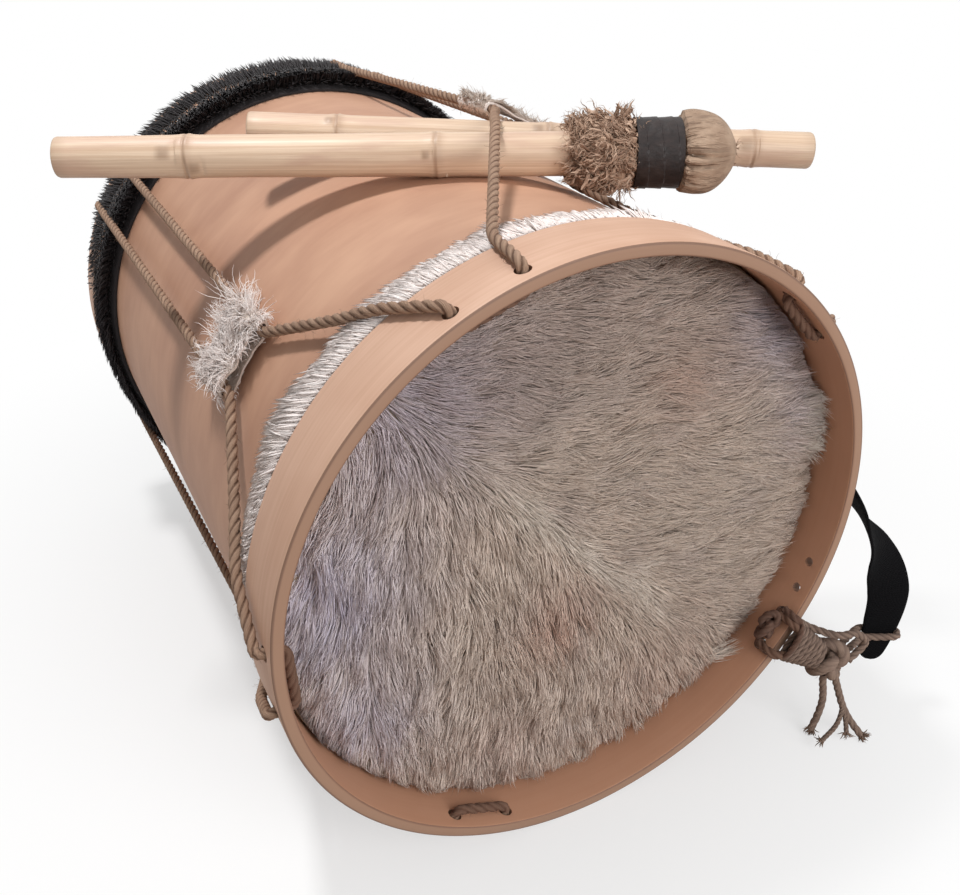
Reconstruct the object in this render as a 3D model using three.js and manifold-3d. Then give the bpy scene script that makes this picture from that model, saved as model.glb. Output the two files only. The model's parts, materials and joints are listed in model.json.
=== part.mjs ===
// A rope-laced folk drum lying on its side, with a mallet and a plain stick tucked under its lacing.
// Millimetres, +Z up. The drum's axis runs along Y and its front head faces -Y.
import * as THREE from "three";
import { mergeVertices } from "three/addons/utils/BufferGeometryUtils.js";
import Module from "manifold-3d";

const wasm = await Module();
wasm.setup();

// Drum
const drumLength = 485;
const hoopRadius = 175;
const hoopWall = 7;
const hoopWidth = 40;
const shellClearance = 3.5;
const shellWall = 6;
const headRecess = 31;
const hideThickness = 1.6;
const fleshRingWall = 3.9;
const fleshRingWidth = 9.5;
const fringeReach = 28;
const drumSides = 32;

// Lacing
const ropeRadius = 3;
const ropeSides = 8;
const holeRadius = 4.1;
const holeInset = 10;
const holeSides = 12;
const pairHalfAngle = 6;
const tiePairHalfAngle = 4;
const frontPairAngles = [-35, 44, 111, 183, 247];
const rearPairAngles = [4.5, 71, 145, 216, 293];
const spareHoleAngles = [-18.4, -24.6];
const spareHoleRadius = 2.8;

// Hide tugs on the lacing
const tugLength = 36;
const tugWall = 1.6;
const tugBoreClearance = 0.7;
const tugDistance = 145;
const liftedTug = 1;
const liftedTugBehindCane = 17.2;
const liftedTugLifts = [17.2, 22.8];
const tugRideHeight = 5;

// Sticks, each placed by the point where it rests on the shell and by the way it points
const malletRestY = 163.7;
const malletHeading = -25.47;
const malletTailLength = 219;
const malletHeadLength = 153.3;
const malletTipRadius = 11;
const malletCaneRadius = 12.3;
const malletKnots = [-148, -13];
const ballRadius = 23.3;
const clothThickness = 3;
const caneIntoBall = 5;
const tapeToBall = 8.6;
const tapeWidth = 25.4;
const tapeRadius = 19.1;
const tapeThickness = 1;
const collarLength = 39;
const collarRadius = 23;
const plainRestX = 9.2;
const plainRestY = 207.8;
const plainCaneHeading = -24.17;
const plainCanePitch = -2.74;
const plainCaneRadius = 10.6;
const plainCaneBack = 111;
const plainCaneFront = 223;
const plainCaneKnots = [-60, 63, 186];
const caneKnotHeight = 0.5;
const caneSides = 16;

// Strap and its ties
const strapThickness = 2.2;
const strapHalfWidth = 13;
const tieReach = 25;
const tieAngle = -34.5;
const tieStandOff = 14;
const tieLead = 5;
const knotSize = [11, 10, 13];
const tieCordRadius = 2.5;
const tailRadius = 2.5;

// Clearances
const fit = 0.3;
const slideGap = 0.9;
const ropeOverGap = 0.9;
const loopSlack = 1.2;
const stitchGap = 0.4;
const edgeLead = 2;
const tugLead = 5;

// Sizes that follow from the ones above
const corner = 1 / Math.cos(Math.PI / drumSides);
const hoopInner = hoopRadius - hoopWall;
const shellRadius = hoopInner - shellClearance;
const sleeveInner = shellRadius + fit;
const sleeveOuter = sleeveInner + hideThickness;
const ringInner = sleeveOuter + fit;
const ringOuter = ringInner + fleshRingWall;
const collarInner = ringOuter + fit;
const collarOuter = collarInner + hideThickness;
const ringStart = hoopWidth + fit;
const ringEnd = ringStart + fleshRingWidth;
const fringeEnd = hoopWidth + fringeReach;
const shellStart = headRecess + hideThickness + fit;
const outerRide = hoopRadius * corner + ropeRadius + fit;
const innerRide = hoopInner - ropeRadius - stitchGap;
const shellRide = shellRadius * corner + ropeRadius + 2 * fit;
const fringeRide = collarOuter - hideThickness + ropeRadius + 2 * fit;
const tugRide = shellRadius + ropeRadius + tugRideHeight + hideThickness / 2;
const caneRise = shellRadius + slideGap;

const up = new THREE.Vector3(0, 0, 1);
const along = new THREE.Vector3(0, 1, 0);

function polar(radius, angle, y) {
  const turn = THREE.MathUtils.degToRad(angle);
  return new THREE.Vector3(radius * Math.cos(turn), y, radius * Math.sin(turn));
}

function merged(geometry) {
  geometry.deleteAttribute("normal");
  geometry.deleteAttribute("uv");
  return mergeVertices(geometry, 1e-4);
}

function signedArea(outline) {
  let area = 0;
  outline.forEach(([x, y], i) => {
    const [nextX, nextY] = outline[(i + 1) % outline.length];
    area += x * nextY - nextX * y;
  });
  return area / 2;
}

// A solid turned about the Y axis from a section given as [radius, y] pairs.
function turned(section, sides, flats = true) {
  const ring = signedArea(section) < 0 ? [...section].reverse() : [...section];
  const onAxis = ring.findIndex(([r], i) => r === 0 && ring[(i + 1) % ring.length][0] !== 0);
  const opened = onAxis < 0 ? [...ring, ring[0]] : [...ring.slice(onAxis), ...ring.slice(0, onAxis)];
  const reach = flats ? 1 / Math.cos(Math.PI / sides) : 1;
  const points = opened.map(([r, y]) => new THREE.Vector2(r * reach, y));
  return merged(new THREE.LatheGeometry(points, sides, Math.PI / sides, 2 * Math.PI));
}

// The same section at the rear end of the drum.
function mirrored(section) {
  return section.map(([r, y]) => [r, drumLength - y]);
}

// Joins rings of points into one closed skin with flat ends.
function skin(rings) {
  const count = rings[0].length;
  const last = (rings.length - 1) * count;
  const faces = [];
  for (let i = 0; i + 1 < rings.length; i++) {
    for (let j = 0; j < count; j++) {
      const a = i * count + j;
      const b = i * count + ((j + 1) % count);
      faces.push(a, b, b + count, a, b + count, a + count);
    }
  }
  for (let j = 1; j + 1 < count; j++) {
    faces.push(0, j + 1, j, last, last + j, last + j + 1);
  }
  const geometry = new THREE.BufferGeometry();
  const positions = rings.flat().flatMap((p) => [p.x, p.y, p.z]);
  geometry.setAttribute("position", new THREE.Float32BufferAttribute(positions, 3));
  geometry.setIndex(faces);
  return geometry;
}

// Points along straight runs with rounded corners.
function rounded(points, bend) {
  const path = [points[0]];
  for (let i = 1; i + 1 < points.length; i++) {
    const before = points[i - 1].clone().sub(points[i]);
    const after = points[i + 1].clone().sub(points[i]);
    const turn = Math.PI - before.angleTo(after);
    const steps = Math.round(turn / 0.9);
    if (steps < 1) {
      path.push(points[i]);
      continue;
    }
    const reach = Math.min(bend, 0.45 * before.length(), 0.45 * after.length());
    const from = points[i].clone().addScaledVector(before.normalize(), reach);
    const to = points[i].clone().addScaledVector(after.normalize(), reach);
    path.push(...new THREE.QuadraticBezierCurve3(from, points[i], to).getPoints(steps + 1));
  }
  path.push(points[points.length - 1]);
  return path;
}

// A cord through the given points, its rings turned as little as possible from one to the next.
function cord(path, radius, sides) {
  let side = null;
  let last = null;
  const rings = path.map((point, i) => {
    const next = path[Math.min(i + 1, path.length - 1)];
    const previous = path[Math.max(i - 1, 0)];
    const into = point.clone().sub(previous).normalize();
    const tangent = next.clone().sub(point).normalize().add(into).normalize();
    if (side === null) {
      const start = Math.abs(tangent.z) < 0.9 ? up : along;
      side = new THREE.Vector3().crossVectors(tangent, start).normalize();
    } else {
      side.applyQuaternion(new THREE.Quaternion().setFromUnitVectors(last, tangent));
    }
    last = tangent;
    const other = new THREE.Vector3().crossVectors(tangent, side);
    return Array.from({ length: sides }, (_, j) => {
      const turn = (2 * Math.PI * j) / sides;
      return point.clone().addScaledVector(side, radius * Math.cos(turn))
        .addScaledVector(other, radius * Math.sin(turn));
    });
  });
  return skin(rings);
}

function solid(geometry) {
  const vertProperties = new Float32Array(geometry.attributes.position.array);
  const triVerts = new Uint32Array(geometry.index.array);
  return new wasm.Manifold(new wasm.Mesh({ numProp: 3, vertProperties, triVerts }));
}

function fromSolid(body) {
  const mesh = body.getMesh();
  const geometry = new THREE.BufferGeometry();
  geometry.setAttribute("position", new THREE.BufferAttribute(mesh.vertProperties, 3));
  geometry.setIndex(new THREE.BufferAttribute(mesh.triVerts, 1));
  return geometry;
}

const assembly = new THREE.Group();

function add(name, geometry, colour, roughness, metalness = 0) {
  const material = new THREE.MeshStandardMaterial({ color: colour, roughness, metalness });
  const mesh = new THREE.Mesh(geometry, material);
  mesh.name = name;
  assembly.add(mesh);
  return mesh;
}

// Shell and flesh rings
const shellSection = [
  [shellRadius - shellWall, shellStart],
  [shellRadius, shellStart],
  [shellRadius, drumLength - shellStart],
  [shellRadius - shellWall, drumLength - shellStart],
];
const fleshRingSection = [
  [ringInner, ringStart],
  [ringOuter, ringStart],
  [ringOuter, ringEnd],
  [ringInner, ringEnd],
];
add("shell", turned(shellSection, drumSides), 0xd6ad8c, 0.6);
add("front_flesh_ring", turned(fleshRingSection, drumSides), 0xb08a66, 0.7);
add("rear_flesh_ring", turned(mirrored(fleshRingSection), drumSides), 0xb08a66, 0.7);

// Each hide is stretched over the shell's end, turned round its flesh ring and left as a fringe.
const hideSection = [
  [0, headRecess],
  [sleeveOuter, headRecess],
  [sleeveOuter, ringEnd + fit],
  [collarInner, ringEnd + fit],
  [collarInner, ringStart],
  [collarOuter, ringStart],
  [collarOuter, ringEnd + fit + hideThickness],
  [sleeveInner + 2 * hideThickness, fringeEnd],
  [sleeveInner, fringeEnd],
  [sleeveInner, headRecess + hideThickness],
  [0, headRecess + hideThickness],
];
add("front_hide", turned(hideSection, drumSides), 0x9d8f86, 0.9);
add("rear_hide", turned(mirrored(hideSection), drumSides), 0x1e1618, 0.9);

// Hoops with their lacing holes
function hoop(name, rimY, inward, holes) {
  const holeY = rimY + inward * holeInset;
  const section = [
    [hoopInner, rimY],
    [hoopRadius, rimY],
    [hoopRadius, rimY + inward * hoopWidth],
    [hoopInner, rimY + inward * hoopWidth],
  ];
  let body = solid(turned(section, drumSides));
  holes.forEach(([angle, radius]) => {
    const drill = new THREE.CylinderGeometry(radius, radius, 4 * hoopWall, holeSides);
    const centre = polar(hoopRadius - hoopWall / 2, angle, holeY);
    const outward = polar(1, angle, 0);
    drill.applyQuaternion(new THREE.Quaternion().setFromUnitVectors(along, outward));
    drill.translate(centre.x, centre.y, centre.z);
    body = body.subtract(solid(merged(drill)));
  });
  add(name, fromSolid(body), 0xc79b7d, 0.55);
}

const halfAngleAt = (i) => (i % frontPairAngles.length === 0 ? tiePairHalfAngle : pairHalfAngle);
const frontHoles = frontPairAngles.flatMap((angle, i) => {
  return [[angle - halfAngleAt(i), holeRadius], [angle + halfAngleAt(i), holeRadius]];
});
const rearHoles = rearPairAngles.flatMap((angle) => {
  return [[angle - pairHalfAngle, holeRadius], [angle + pairHalfAngle, holeRadius]];
});
const tieHoles = [-tiePairHalfAngle, tiePairHalfAngle].map((turn) => [frontPairAngles[0] + turn, holeRadius]);
const spareHoles = spareHoleAngles.map((angle) => [angle, spareHoleRadius]);
hoop("front_hoop", 0, 1, [...frontHoles, ...spareHoles]);
hoop("rear_hoop", drumLength, -1, [...rearHoles, ...tieHoles]);

// Sticks: x runs along the stick from the point where it rests on the shell
function stickFrame(restX, restY, radius, heading, pitch) {
  const turn = THREE.MathUtils.degToRad(heading);
  const dip = THREE.MathUtils.degToRad(pitch);
  const flat = Math.cos(dip);
  const direction = new THREE.Vector3(flat * Math.cos(turn), flat * Math.sin(turn), Math.sin(dip));
  return { origin: new THREE.Vector3(restX, restY, caneRise + radius), direction };
}

function placeStick(mesh, frame) {
  mesh.quaternion.setFromUnitVectors(along, frame.direction);
  mesh.position.copy(frame.origin);
}

function stickPoint(frame, distance) {
  return frame.origin.clone().addScaledVector(frame.direction, distance);
}

function caneSection(start, end, startRadius, endRadius, knots) {
  const radiusAt = (t) => startRadius + ((endRadius - startRadius) * (t - start)) / (end - start);
  const rim = [[radiusAt(start) - 1.5, start], [radiusAt(start), start + 1.5]];
  knots.forEach((t) => {
    const knotRadius = radiusAt(t) + caneKnotHeight;
    rim.push([radiusAt(t), t - 4], [knotRadius, t - 1], [knotRadius, t + 1], [radiusAt(t), t + 4]);
  });
  rim.push([endRadius, end - 1.5], [endRadius - 1.5, end]);
  return [[0, start], ...rim, [0, end]];
}

const ballCentre = malletHeadLength - ballRadius;
const caneEnd = ballCentre + caneIntoBall;
const tapeEnd = ballCentre - tapeToBall;
const tapeStart = tapeEnd - tapeWidth;
const collarStart = tapeStart - collarLength;
const malletGrowth = (malletCaneRadius - malletTipRadius) / (malletTailLength + caneEnd);
const malletRestRadius = malletTipRadius + malletGrowth * malletTailLength;
const malletFrame = stickFrame(0, malletRestY, malletRestRadius, malletHeading, 0);
const plainFrame = stickFrame(plainRestX, plainRestY, plainCaneRadius, plainCaneHeading, plainCanePitch);
const clothBore = malletCaneRadius + fit;
const neckRadius = tapeRadius - tapeThickness - fit;
const ballStart = tapeEnd + fit;
const coreStart = ballStart + clothThickness;
const coreRadius = ballRadius - clothThickness;

// Points on the mallet's round end, from a place along the mallet to the tip on the axis.
function cap(radius, start) {
  const steps = 7;
  const whole = Math.acos((start - ballCentre) / radius);
  return Array.from({ length: steps + 1 }, (_, i) => {
    const turn = whole * (1 - i / steps);
    return [i === steps ? 0 : radius * Math.sin(turn), ballCentre + radius * Math.cos(turn)];
  });
}

const malletCane = caneSection(-malletTailLength, caneEnd, malletTipRadius, malletCaneRadius, malletKnots);
placeStick(add("mallet_cane", turned(malletCane, caneSides, false), 0xdcc3a3, 0.5), malletFrame);
const plainRadii = [plainCaneRadius, plainCaneRadius];
const plainCane = caneSection(-plainCaneBack, plainCaneFront, ...plainRadii, plainCaneKnots);
placeStick(add("plain_cane", turned(plainCane, caneSides, false), 0xe2caa6, 0.5), plainFrame);

const clothSection = [
  [clothBore, collarStart],
  [clothBore + clothThickness, collarStart],
  [collarRadius - clothThickness, collarStart + 0.28 * collarLength],
  [collarRadius, collarStart + 0.6 * collarLength],
  [collarRadius - 1, tapeStart - 5],
  [neckRadius, tapeStart - fit],
  [neckRadius, ballStart],
  ...cap(ballRadius, ballStart),
  ...cap(coreRadius, coreStart).reverse(),
  [clothBore, coreStart],
];
placeStick(add("mallet_cloth", turned(clothSection, caneSides, false), 0xa08a76, 0.95), malletFrame);

const padSection = [
  [0, caneEnd + fit],
  [clothBore, caneEnd + fit],
  [clothBore, coreStart + fit],
  ...cap(coreRadius - fit, coreStart + fit),
];
placeStick(add("mallet_padding", turned(padSection, caneSides, false), 0xb9ab98, 0.95), malletFrame);

const tapeSection = [
  [neckRadius + fit, tapeStart],
  [tapeRadius, tapeStart],
  [tapeRadius, tapeEnd],
  [neckRadius + fit, tapeEnd],
];
placeStick(add("mallet_tape", turned(tapeSection, caneSides, false), 0x3c3230, 0.6), malletFrame);

// Where the lacing goes through the tugs
const tugs = rearPairAngles.map((angle, i) => {
  const lifted = i === liftedTug;
  const y = lifted ? plainRestY + liftedTugBehindCane : tugDistance;
  const radii = lifted ? liftedTugLifts.map((lift) => shellRide + lift) : [tugRide, tugRide];
  return { angle, y, radii };
});

function tugPoint(i, side, y) {
  const tug = tugs[i];
  const radius = tug.radii[(side + 1) / 2];
  const angle = tug.angle + side * pairHalfAngle;
  const start = polar(radius, angle, tug.y + tugLength / 2);
  const end = polar(outerRide, angle, drumLength - hoopWidth - fit);
  return start.lerp(end, (y - start.y) / (end.y - start.y));
}

// One leg from a hole of the front hoop to its tug, over the hoop's edge and the fringe.
function frontLeg(angle, i, side) {
  const meetY = tugs[i].y - tugLength / 2 - tugLead;
  const meet = tugPoint(i, side, meetY);
  const hole = polar(outerRide, angle, holeInset);
  const edgeY = hoopWidth + edgeLead;
  const fringeY = fringeEnd + edgeLead;
  if (i === liftedTug && side > 0) {
    const overMallet = stickPoint(malletFrame, 20);
    const overPlain = stickPoint(plainFrame, 32);
    overMallet.z += malletCaneRadius + ropeRadius + ropeOverGap;
    overPlain.z += plainCaneRadius + ropeRadius + ropeOverGap;
    return [hole, polar(outerRide, angle - 1, edgeY), overMallet, overPlain, meet];
  }
  if (i === liftedTug) {
    return [
      hole,
      polar(outerRide, angle + 1.5, edgeY),
      polar(fringeRide, angle + 3.5, fringeY),
      polar(shellRide, angle + 6.5, malletRestY - 38),
      polar(shellRide, angle + 11, malletRestY + 12),
      meet,
    ];
  }
  const meetAngle = tugs[i].angle + side * pairHalfAngle;
  const underneath = Math.cos(THREE.MathUtils.degToRad((angle + meetAngle) / 2 - 270)) > 0.99;
  const share = (y) => (y - holeInset) / (meetY - holeInset);
  const edgeAngle = underneath ? angle : THREE.MathUtils.lerp(angle, meetAngle, share(edgeY));
  const edgeRide = outerRide / Math.cos(THREE.MathUtils.degToRad((edgeAngle - angle) / 2));
  const fringeAngle = THREE.MathUtils.lerp(angle, meetAngle, share(fringeY) * (underneath ? 0.32 : 1));
  const overFringe = polar(fringeRide, fringeAngle, fringeY);
  const middle = overFringe.clone().lerp(meet, 0.5);
  const middleRadius = Math.hypot(middle.x, middle.z);
  const lift = Math.max(1, shellRide / middleRadius);
  middle.x *= lift;
  middle.z *= lift;
  return [polar(edgeRide, angle, holeInset), polar(edgeRide, edgeAngle, edgeY), overFringe, middle, meet];
}

function rearLeg(i, side) {
  const angle = tugs[i].angle + side * pairHalfAngle;
  const edge = polar(outerRide, angle, drumLength - hoopWidth - fit);
  return [edge, polar(outerRide, angle, drumLength - holeInset)];
}

function stitch(from, to, y) {
  return [polar(innerRide, from, y), polar(innerRide, to, y)];
}

// The rope's two ends, from the inside of the front hoop over its rim to the knot
const frontKnot = polar(hoopRadius + tieReach, tieAngle, -tieStandOff);
const rearKnot = polar(hoopRadius + tieReach, tieAngle, drumLength + tieStandOff);
const knotOut = polar(1, tieAngle, 0);
const knotSide = polar(1, tieAngle + 90, 0);

function overRim(side, knot, rimY, outside, radius) {
  const angle = frontPairAngles[0] + side * tiePairHalfAngle;
  const nearKnot = knot.clone().addScaledVector(knotOut, -knotSize[0] - fit)
    .addScaledVector(knotSide, side * (radius + fit));
  return [
    polar(innerRide, angle, rimY - outside * holeInset),
    polar(innerRide, angle, rimY + outside * (radius + 0.7)),
    nearKnot.clone().addScaledVector(knotOut, -tieLead),
    nearKnot,
  ];
}

const route = [...overRim(1, frontKnot, 0, -1, ropeRadius).reverse()];
tugs.forEach((tug, i) => {
  const next = (i + 1) % tugs.length;
  const start = frontPairAngles[i] + halfAngleAt(i);
  const end = frontPairAngles[next] - halfAngleAt(next) + (next === 0 ? 360 : 0);
  const rearY = drumLength - holeInset;
  route.push(...frontLeg(start, i, -1), ...rearLeg(i, -1));
  route.push(...stitch(tug.angle - pairHalfAngle, tug.angle + pairHalfAngle, rearY));
  route.push(...rearLeg(i, 1).reverse(), ...frontLeg(end, i, 1).reverse());
  if (next !== 0) {
    route.push(...stitch(end, end + 2 * pairHalfAngle, holeInset));
  }
});
route.push(...overRim(-1, frontKnot, 0, -1, ropeRadius));
add("lacing_rope", cord(rounded(route, 4), ropeRadius, ropeSides), 0x9a8268, 0.9);

// Tugs: a flat loop of hide with a channel for each of the two ropes
function tug(i) {
  const [one, two] = [-1, 1].map((side) => tugPoint(i, side, tugs[i].y));
  const ahead = [-1, 1].map((side) => tugPoint(i, side, tugs[i].y + 100));
  const axis = ahead[0].clone().add(ahead[1]).sub(one).sub(two).normalize();
  const half = one.distanceTo(two) / 2;
  const bore = ropeRadius + tugBoreClearance;
  const outline = new THREE.Shape();
  outline.absarc(half, 0, bore + tugWall, -Math.PI / 2, Math.PI / 2, false);
  outline.absarc(-half, 0, bore + tugWall, Math.PI / 2, (3 * Math.PI) / 2, false);
  [-half, half].forEach((x) => {
    const channel = new THREE.Path();
    channel.absarc(x, 0, bore / Math.cos(Math.PI / ropeSides), 0, 2 * Math.PI, true);
    outline.holes.push(channel);
  });
  const settings = { depth: tugLength, bevelEnabled: false, curveSegments: ropeSides };
  const geometry = merged(new THREE.ExtrudeGeometry(outline, settings));
  const across = two.clone().sub(one);
  across.addScaledVector(axis, -across.dot(axis)).normalize();
  const basis = new THREE.Matrix4().makeBasis(across, new THREE.Vector3().crossVectors(axis, across), axis);
  const mesh = add(`tug_${i + 1}`, geometry, 0xd9cdbf, 0.9);
  mesh.quaternion.setFromRotationMatrix(basis);
  mesh.position.copy(one).add(two).multiplyScalar(0.5).addScaledVector(axis, -tugLength / 2);
}
tugs.forEach((_, i) => tug(i));

// Knots and the rear tie
function knot(name, centre) {
  const geometry = merged(new THREE.SphereGeometry(1, 12, 8));
  const third = new THREE.Vector3().crossVectors(knotOut, along);
  const basis = new THREE.Matrix4().makeBasis(knotOut, along, third);
  geometry.scale(...knotSize);
  const mesh = add(name, geometry, 0x8f7d6c, 0.9);
  mesh.quaternion.setFromRotationMatrix(basis);
  mesh.position.copy(centre);
}
knot("front_tie_knot", frontKnot);
knot("rear_tie_knot", rearKnot);

const rearTieY = drumLength - holeInset;
const rearTie = [
  ...overRim(1, rearKnot, drumLength, 1, tieCordRadius).reverse(),
  polar(outerRide, frontPairAngles[0] + tiePairHalfAngle, rearTieY),
  polar(outerRide, frontPairAngles[0] - tiePairHalfAngle, rearTieY),
  ...overRim(-1, rearKnot, drumLength, 1, tieCordRadius),
];
add("rear_tie_cord", cord(rounded(rearTie, 4), tieCordRadius, ropeSides), 0x9a8268, 0.9);

// Strap: each end's centre points are given from its knot, and the side's by their rise above the hoops,
// their angle and their share of the drum's length, each with the way its width points
const strapEnd = [
  { at: [38.7, 3.5, -17.7], across: [0.89, -0.456, 0], half: 6 },
  { at: [46.7, 4.6, -7.7], across: [0.89, -0.456, 0], half: 8.5 },
  { at: [50.7, 5.8, 6.3], across: [0.89, -0.456, 0], half: 9.5 },
  { at: [54.2, 8.7, 26.3], across: [0.88, -0.47, 0.05], half: strapHalfWidth },
];
const strapSide = [
  { rise: 41.8, angle: -15.1, share: 0, across: [0.85, 0.1, -0.3] },
  { rise: 25.3, angle: -10, share: 0.011, across: [0.65, 0.55, -0.4] },
  { rise: 14.9, angle: -5.4, share: 0.025, across: [0.39, 0.77, -0.5] },
  { rise: 11.1, angle: -2.2, share: 0.054, across: [0.4, 0.5, -0.75] },
  { rise: 11.5, angle: -1.2, share: 0.103, across: [0.35, 0, -0.94] },
  { rise: 15.7, angle: -4.8, share: 0.186, across: [0.3, 0, -0.95] },
  { rise: 26.4, angle: -15.6, share: 0.309, across: [0.3, 0, -0.95] },
  { rise: 39.8, angle: -24.8, share: 0.454, across: [0.25, 0, -0.97] },
  { rise: 47.1, angle: -29.7, share: 0.619, across: [0.25, 0, -0.97] },
  { rise: 48, angle: -29.6, share: 0.784, across: [0.3, 0, -0.95] },
  { rise: 50.9, angle: -25.4, share: 0.907, across: [0.5, 0.1, -0.8] },
];
const vector = (numbers) => new THREE.Vector3(...numbers);
const frontEnd = strapEnd.map(({ at, across, half }) => {
  return { at: vector(at).add(frontKnot), across: vector(across), half };
});
const rearEnd = strapEnd.map(({ at: [x, y, z], across: [a, b, c], half }) => {
  return { at: vector([x, -y, z]).add(rearKnot), across: vector([a, -b, c]), half };
});
const sideStations = strapSide.map(({ rise, angle, share, across }) => {
  const at = polar(hoopRadius + rise, angle, share * drumLength);
  return { at, across: vector(across), half: strapHalfWidth };
});
const strapStations = [...frontEnd, ...sideStations, ...rearEnd.reverse()];

function strapGeometry() {
  const centreLine = new THREE.CatmullRomCurve3(strapStations.map(({ at }) => at));
  const widths = new THREE.CatmullRomCurve3(strapStations.map(({ across }) => across));
  const spans = strapStations.length - 1;
  const steps = 3 * spans;
  const rings = Array.from({ length: steps + 1 }, (_, k) => {
    const t = k / steps;
    const station = Math.min(Math.floor(t * spans + 1e-9), spans - 1);
    const [from, to] = [strapStations[station], strapStations[station + 1]];
    const wide = THREE.MathUtils.lerp(from.half, to.half, t * spans - station);
    const tangent = centreLine.getTangent(t);
    const width = widths.getPoint(t);
    width.addScaledVector(tangent, -width.dot(tangent)).normalize().multiplyScalar(wide);
    const depth = new THREE.Vector3().crossVectors(tangent, width).setLength(strapThickness / 2);
    const centre = centreLine.getPoint(t);
    return [[1, 1], [-1, 1], [-1, -1], [1, -1]].map(([a, b]) => {
      return centre.clone().addScaledVector(width, a).addScaledVector(depth, b);
    });
  });
  return skin(rings);
}
add("strap", strapGeometry(), 0x121014, 0.8);

// Each end of the strap is held in a loop of cord that comes out of the knot.
function tieLoop(name, knotCentre, outside) {
  const { at, across } = strapEnd[1];
  const held = vector([at[0] + 1.6, -outside * (at[1] + 0.5), at[2] + 6]).add(knotCentre);
  const width = vector([across[0], -outside * across[1], across[2]]);
  const normal = vector([-width.y * outside, width.x * outside, 0]);
  const reach = strapThickness / 2 + tieCordRadius + loopSlack;
  const near = vector([1, 0, 0.25]).normalize();
  const corners = [[1, -11], [1, 12.5], [-1, 12.5], [-1, -11]].map(([side, out]) => {
    return held.clone().addScaledVector(normal, side * reach).addScaledVector(width, out);
  });
  const starts = [1, -1].map((side) => {
    return knotCentre.clone().addScaledVector(near, knotSize[0] + fit + 1.4)
      .add(vector([0, side * outside * (tieCordRadius + fit), 0]));
  });
  const path = rounded([starts[0], ...corners, starts[1]], 5);
  add(name, cord(path, tieCordRadius, ropeSides), 0x9a8268, 0.9);
}
tieLoop("front_tie_loop", frontKnot, -1);
tieLoop("rear_tie_loop", rearKnot, 1);

// Two loose rope ends below the front knot, their points given from its centre
const tailRoutes = {
  left_tail: [[0.5, 0, -12.8], [1.1, -0.1, -19.7], [2.8, -0.4, -27.7], [3.5, -1, -35.7],
    [2.4, -1.4, -43.7], [0.2, -1.8, -50.7], [-3.3, -2.4, -57.2]],
  right_tail: [[6.6, -0.9, -10.3], [9.7, -1.5, -18.7], [12.6, -2.4, -26.7], [14.6, -4.6, -34.7],
    [16.2, -7.8, -42.2], [18.2, -12, -48.7], [20.7, -17, -54.3], [22.8, -21.5, -58.3]],
};
Object.entries(tailRoutes).forEach(([name, points]) => {
  const path = points.map((point) => vector(point).add(frontKnot));
  add(name, cord(path, tailRadius, ropeSides), 0x9a8268, 0.9);
});

// The origin is under the middle of the drum and its sticks, on the surface that it lies on.
const looseEnds = Object.keys(tailRoutes);
const bounds = new THREE.Box3();
assembly.updateMatrixWorld(true);
assembly.children.filter(({ name }) => !looseEnds.includes(name)).forEach((mesh) => {
  bounds.expandByObject(mesh, true);
});
const middle = bounds.getCenter(new THREE.Vector3());
assembly.position.set(-middle.x, -middle.y, -bounds.min.z);

const drum = new THREE.Group();
drum.add(assembly);
export default drum;
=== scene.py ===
import json
import math

import bmesh
import bpy
from mathutils import Matrix, Vector, noise


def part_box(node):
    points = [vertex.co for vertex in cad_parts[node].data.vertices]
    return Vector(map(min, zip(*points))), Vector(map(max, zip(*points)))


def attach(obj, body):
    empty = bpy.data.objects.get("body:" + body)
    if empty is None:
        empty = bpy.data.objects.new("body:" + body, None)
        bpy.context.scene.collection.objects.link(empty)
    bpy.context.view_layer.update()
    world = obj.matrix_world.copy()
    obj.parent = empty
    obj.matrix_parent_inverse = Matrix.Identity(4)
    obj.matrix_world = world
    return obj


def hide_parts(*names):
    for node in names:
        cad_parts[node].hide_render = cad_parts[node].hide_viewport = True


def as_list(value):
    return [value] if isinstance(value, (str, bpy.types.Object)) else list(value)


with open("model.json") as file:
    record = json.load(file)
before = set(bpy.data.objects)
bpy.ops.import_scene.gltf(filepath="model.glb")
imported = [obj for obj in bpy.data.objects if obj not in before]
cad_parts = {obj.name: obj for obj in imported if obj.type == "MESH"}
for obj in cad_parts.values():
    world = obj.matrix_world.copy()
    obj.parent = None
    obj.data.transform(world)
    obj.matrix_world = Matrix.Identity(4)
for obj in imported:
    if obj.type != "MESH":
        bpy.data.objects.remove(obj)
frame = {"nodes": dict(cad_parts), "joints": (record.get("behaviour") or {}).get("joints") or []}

noise.seed_set(7)  # noise_vector's offsets come from the clock otherwise
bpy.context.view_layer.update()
mm = 0.001
sharpFrom = 40  # degrees between two faces

# The drum's own place: millimetres, x and z across it, y from its front rim to its rear one
hoopLow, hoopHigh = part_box("front_hoop")
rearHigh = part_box("rear_hoop")[1]
shellLow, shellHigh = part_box("shell")
hideLow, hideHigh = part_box("front_hide")
rimCentre = Vector(((hoopLow.x + hoopHigh.x) / 2, hoopLow.y, (hoopLow.z + hoopHigh.z) / 2))

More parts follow.
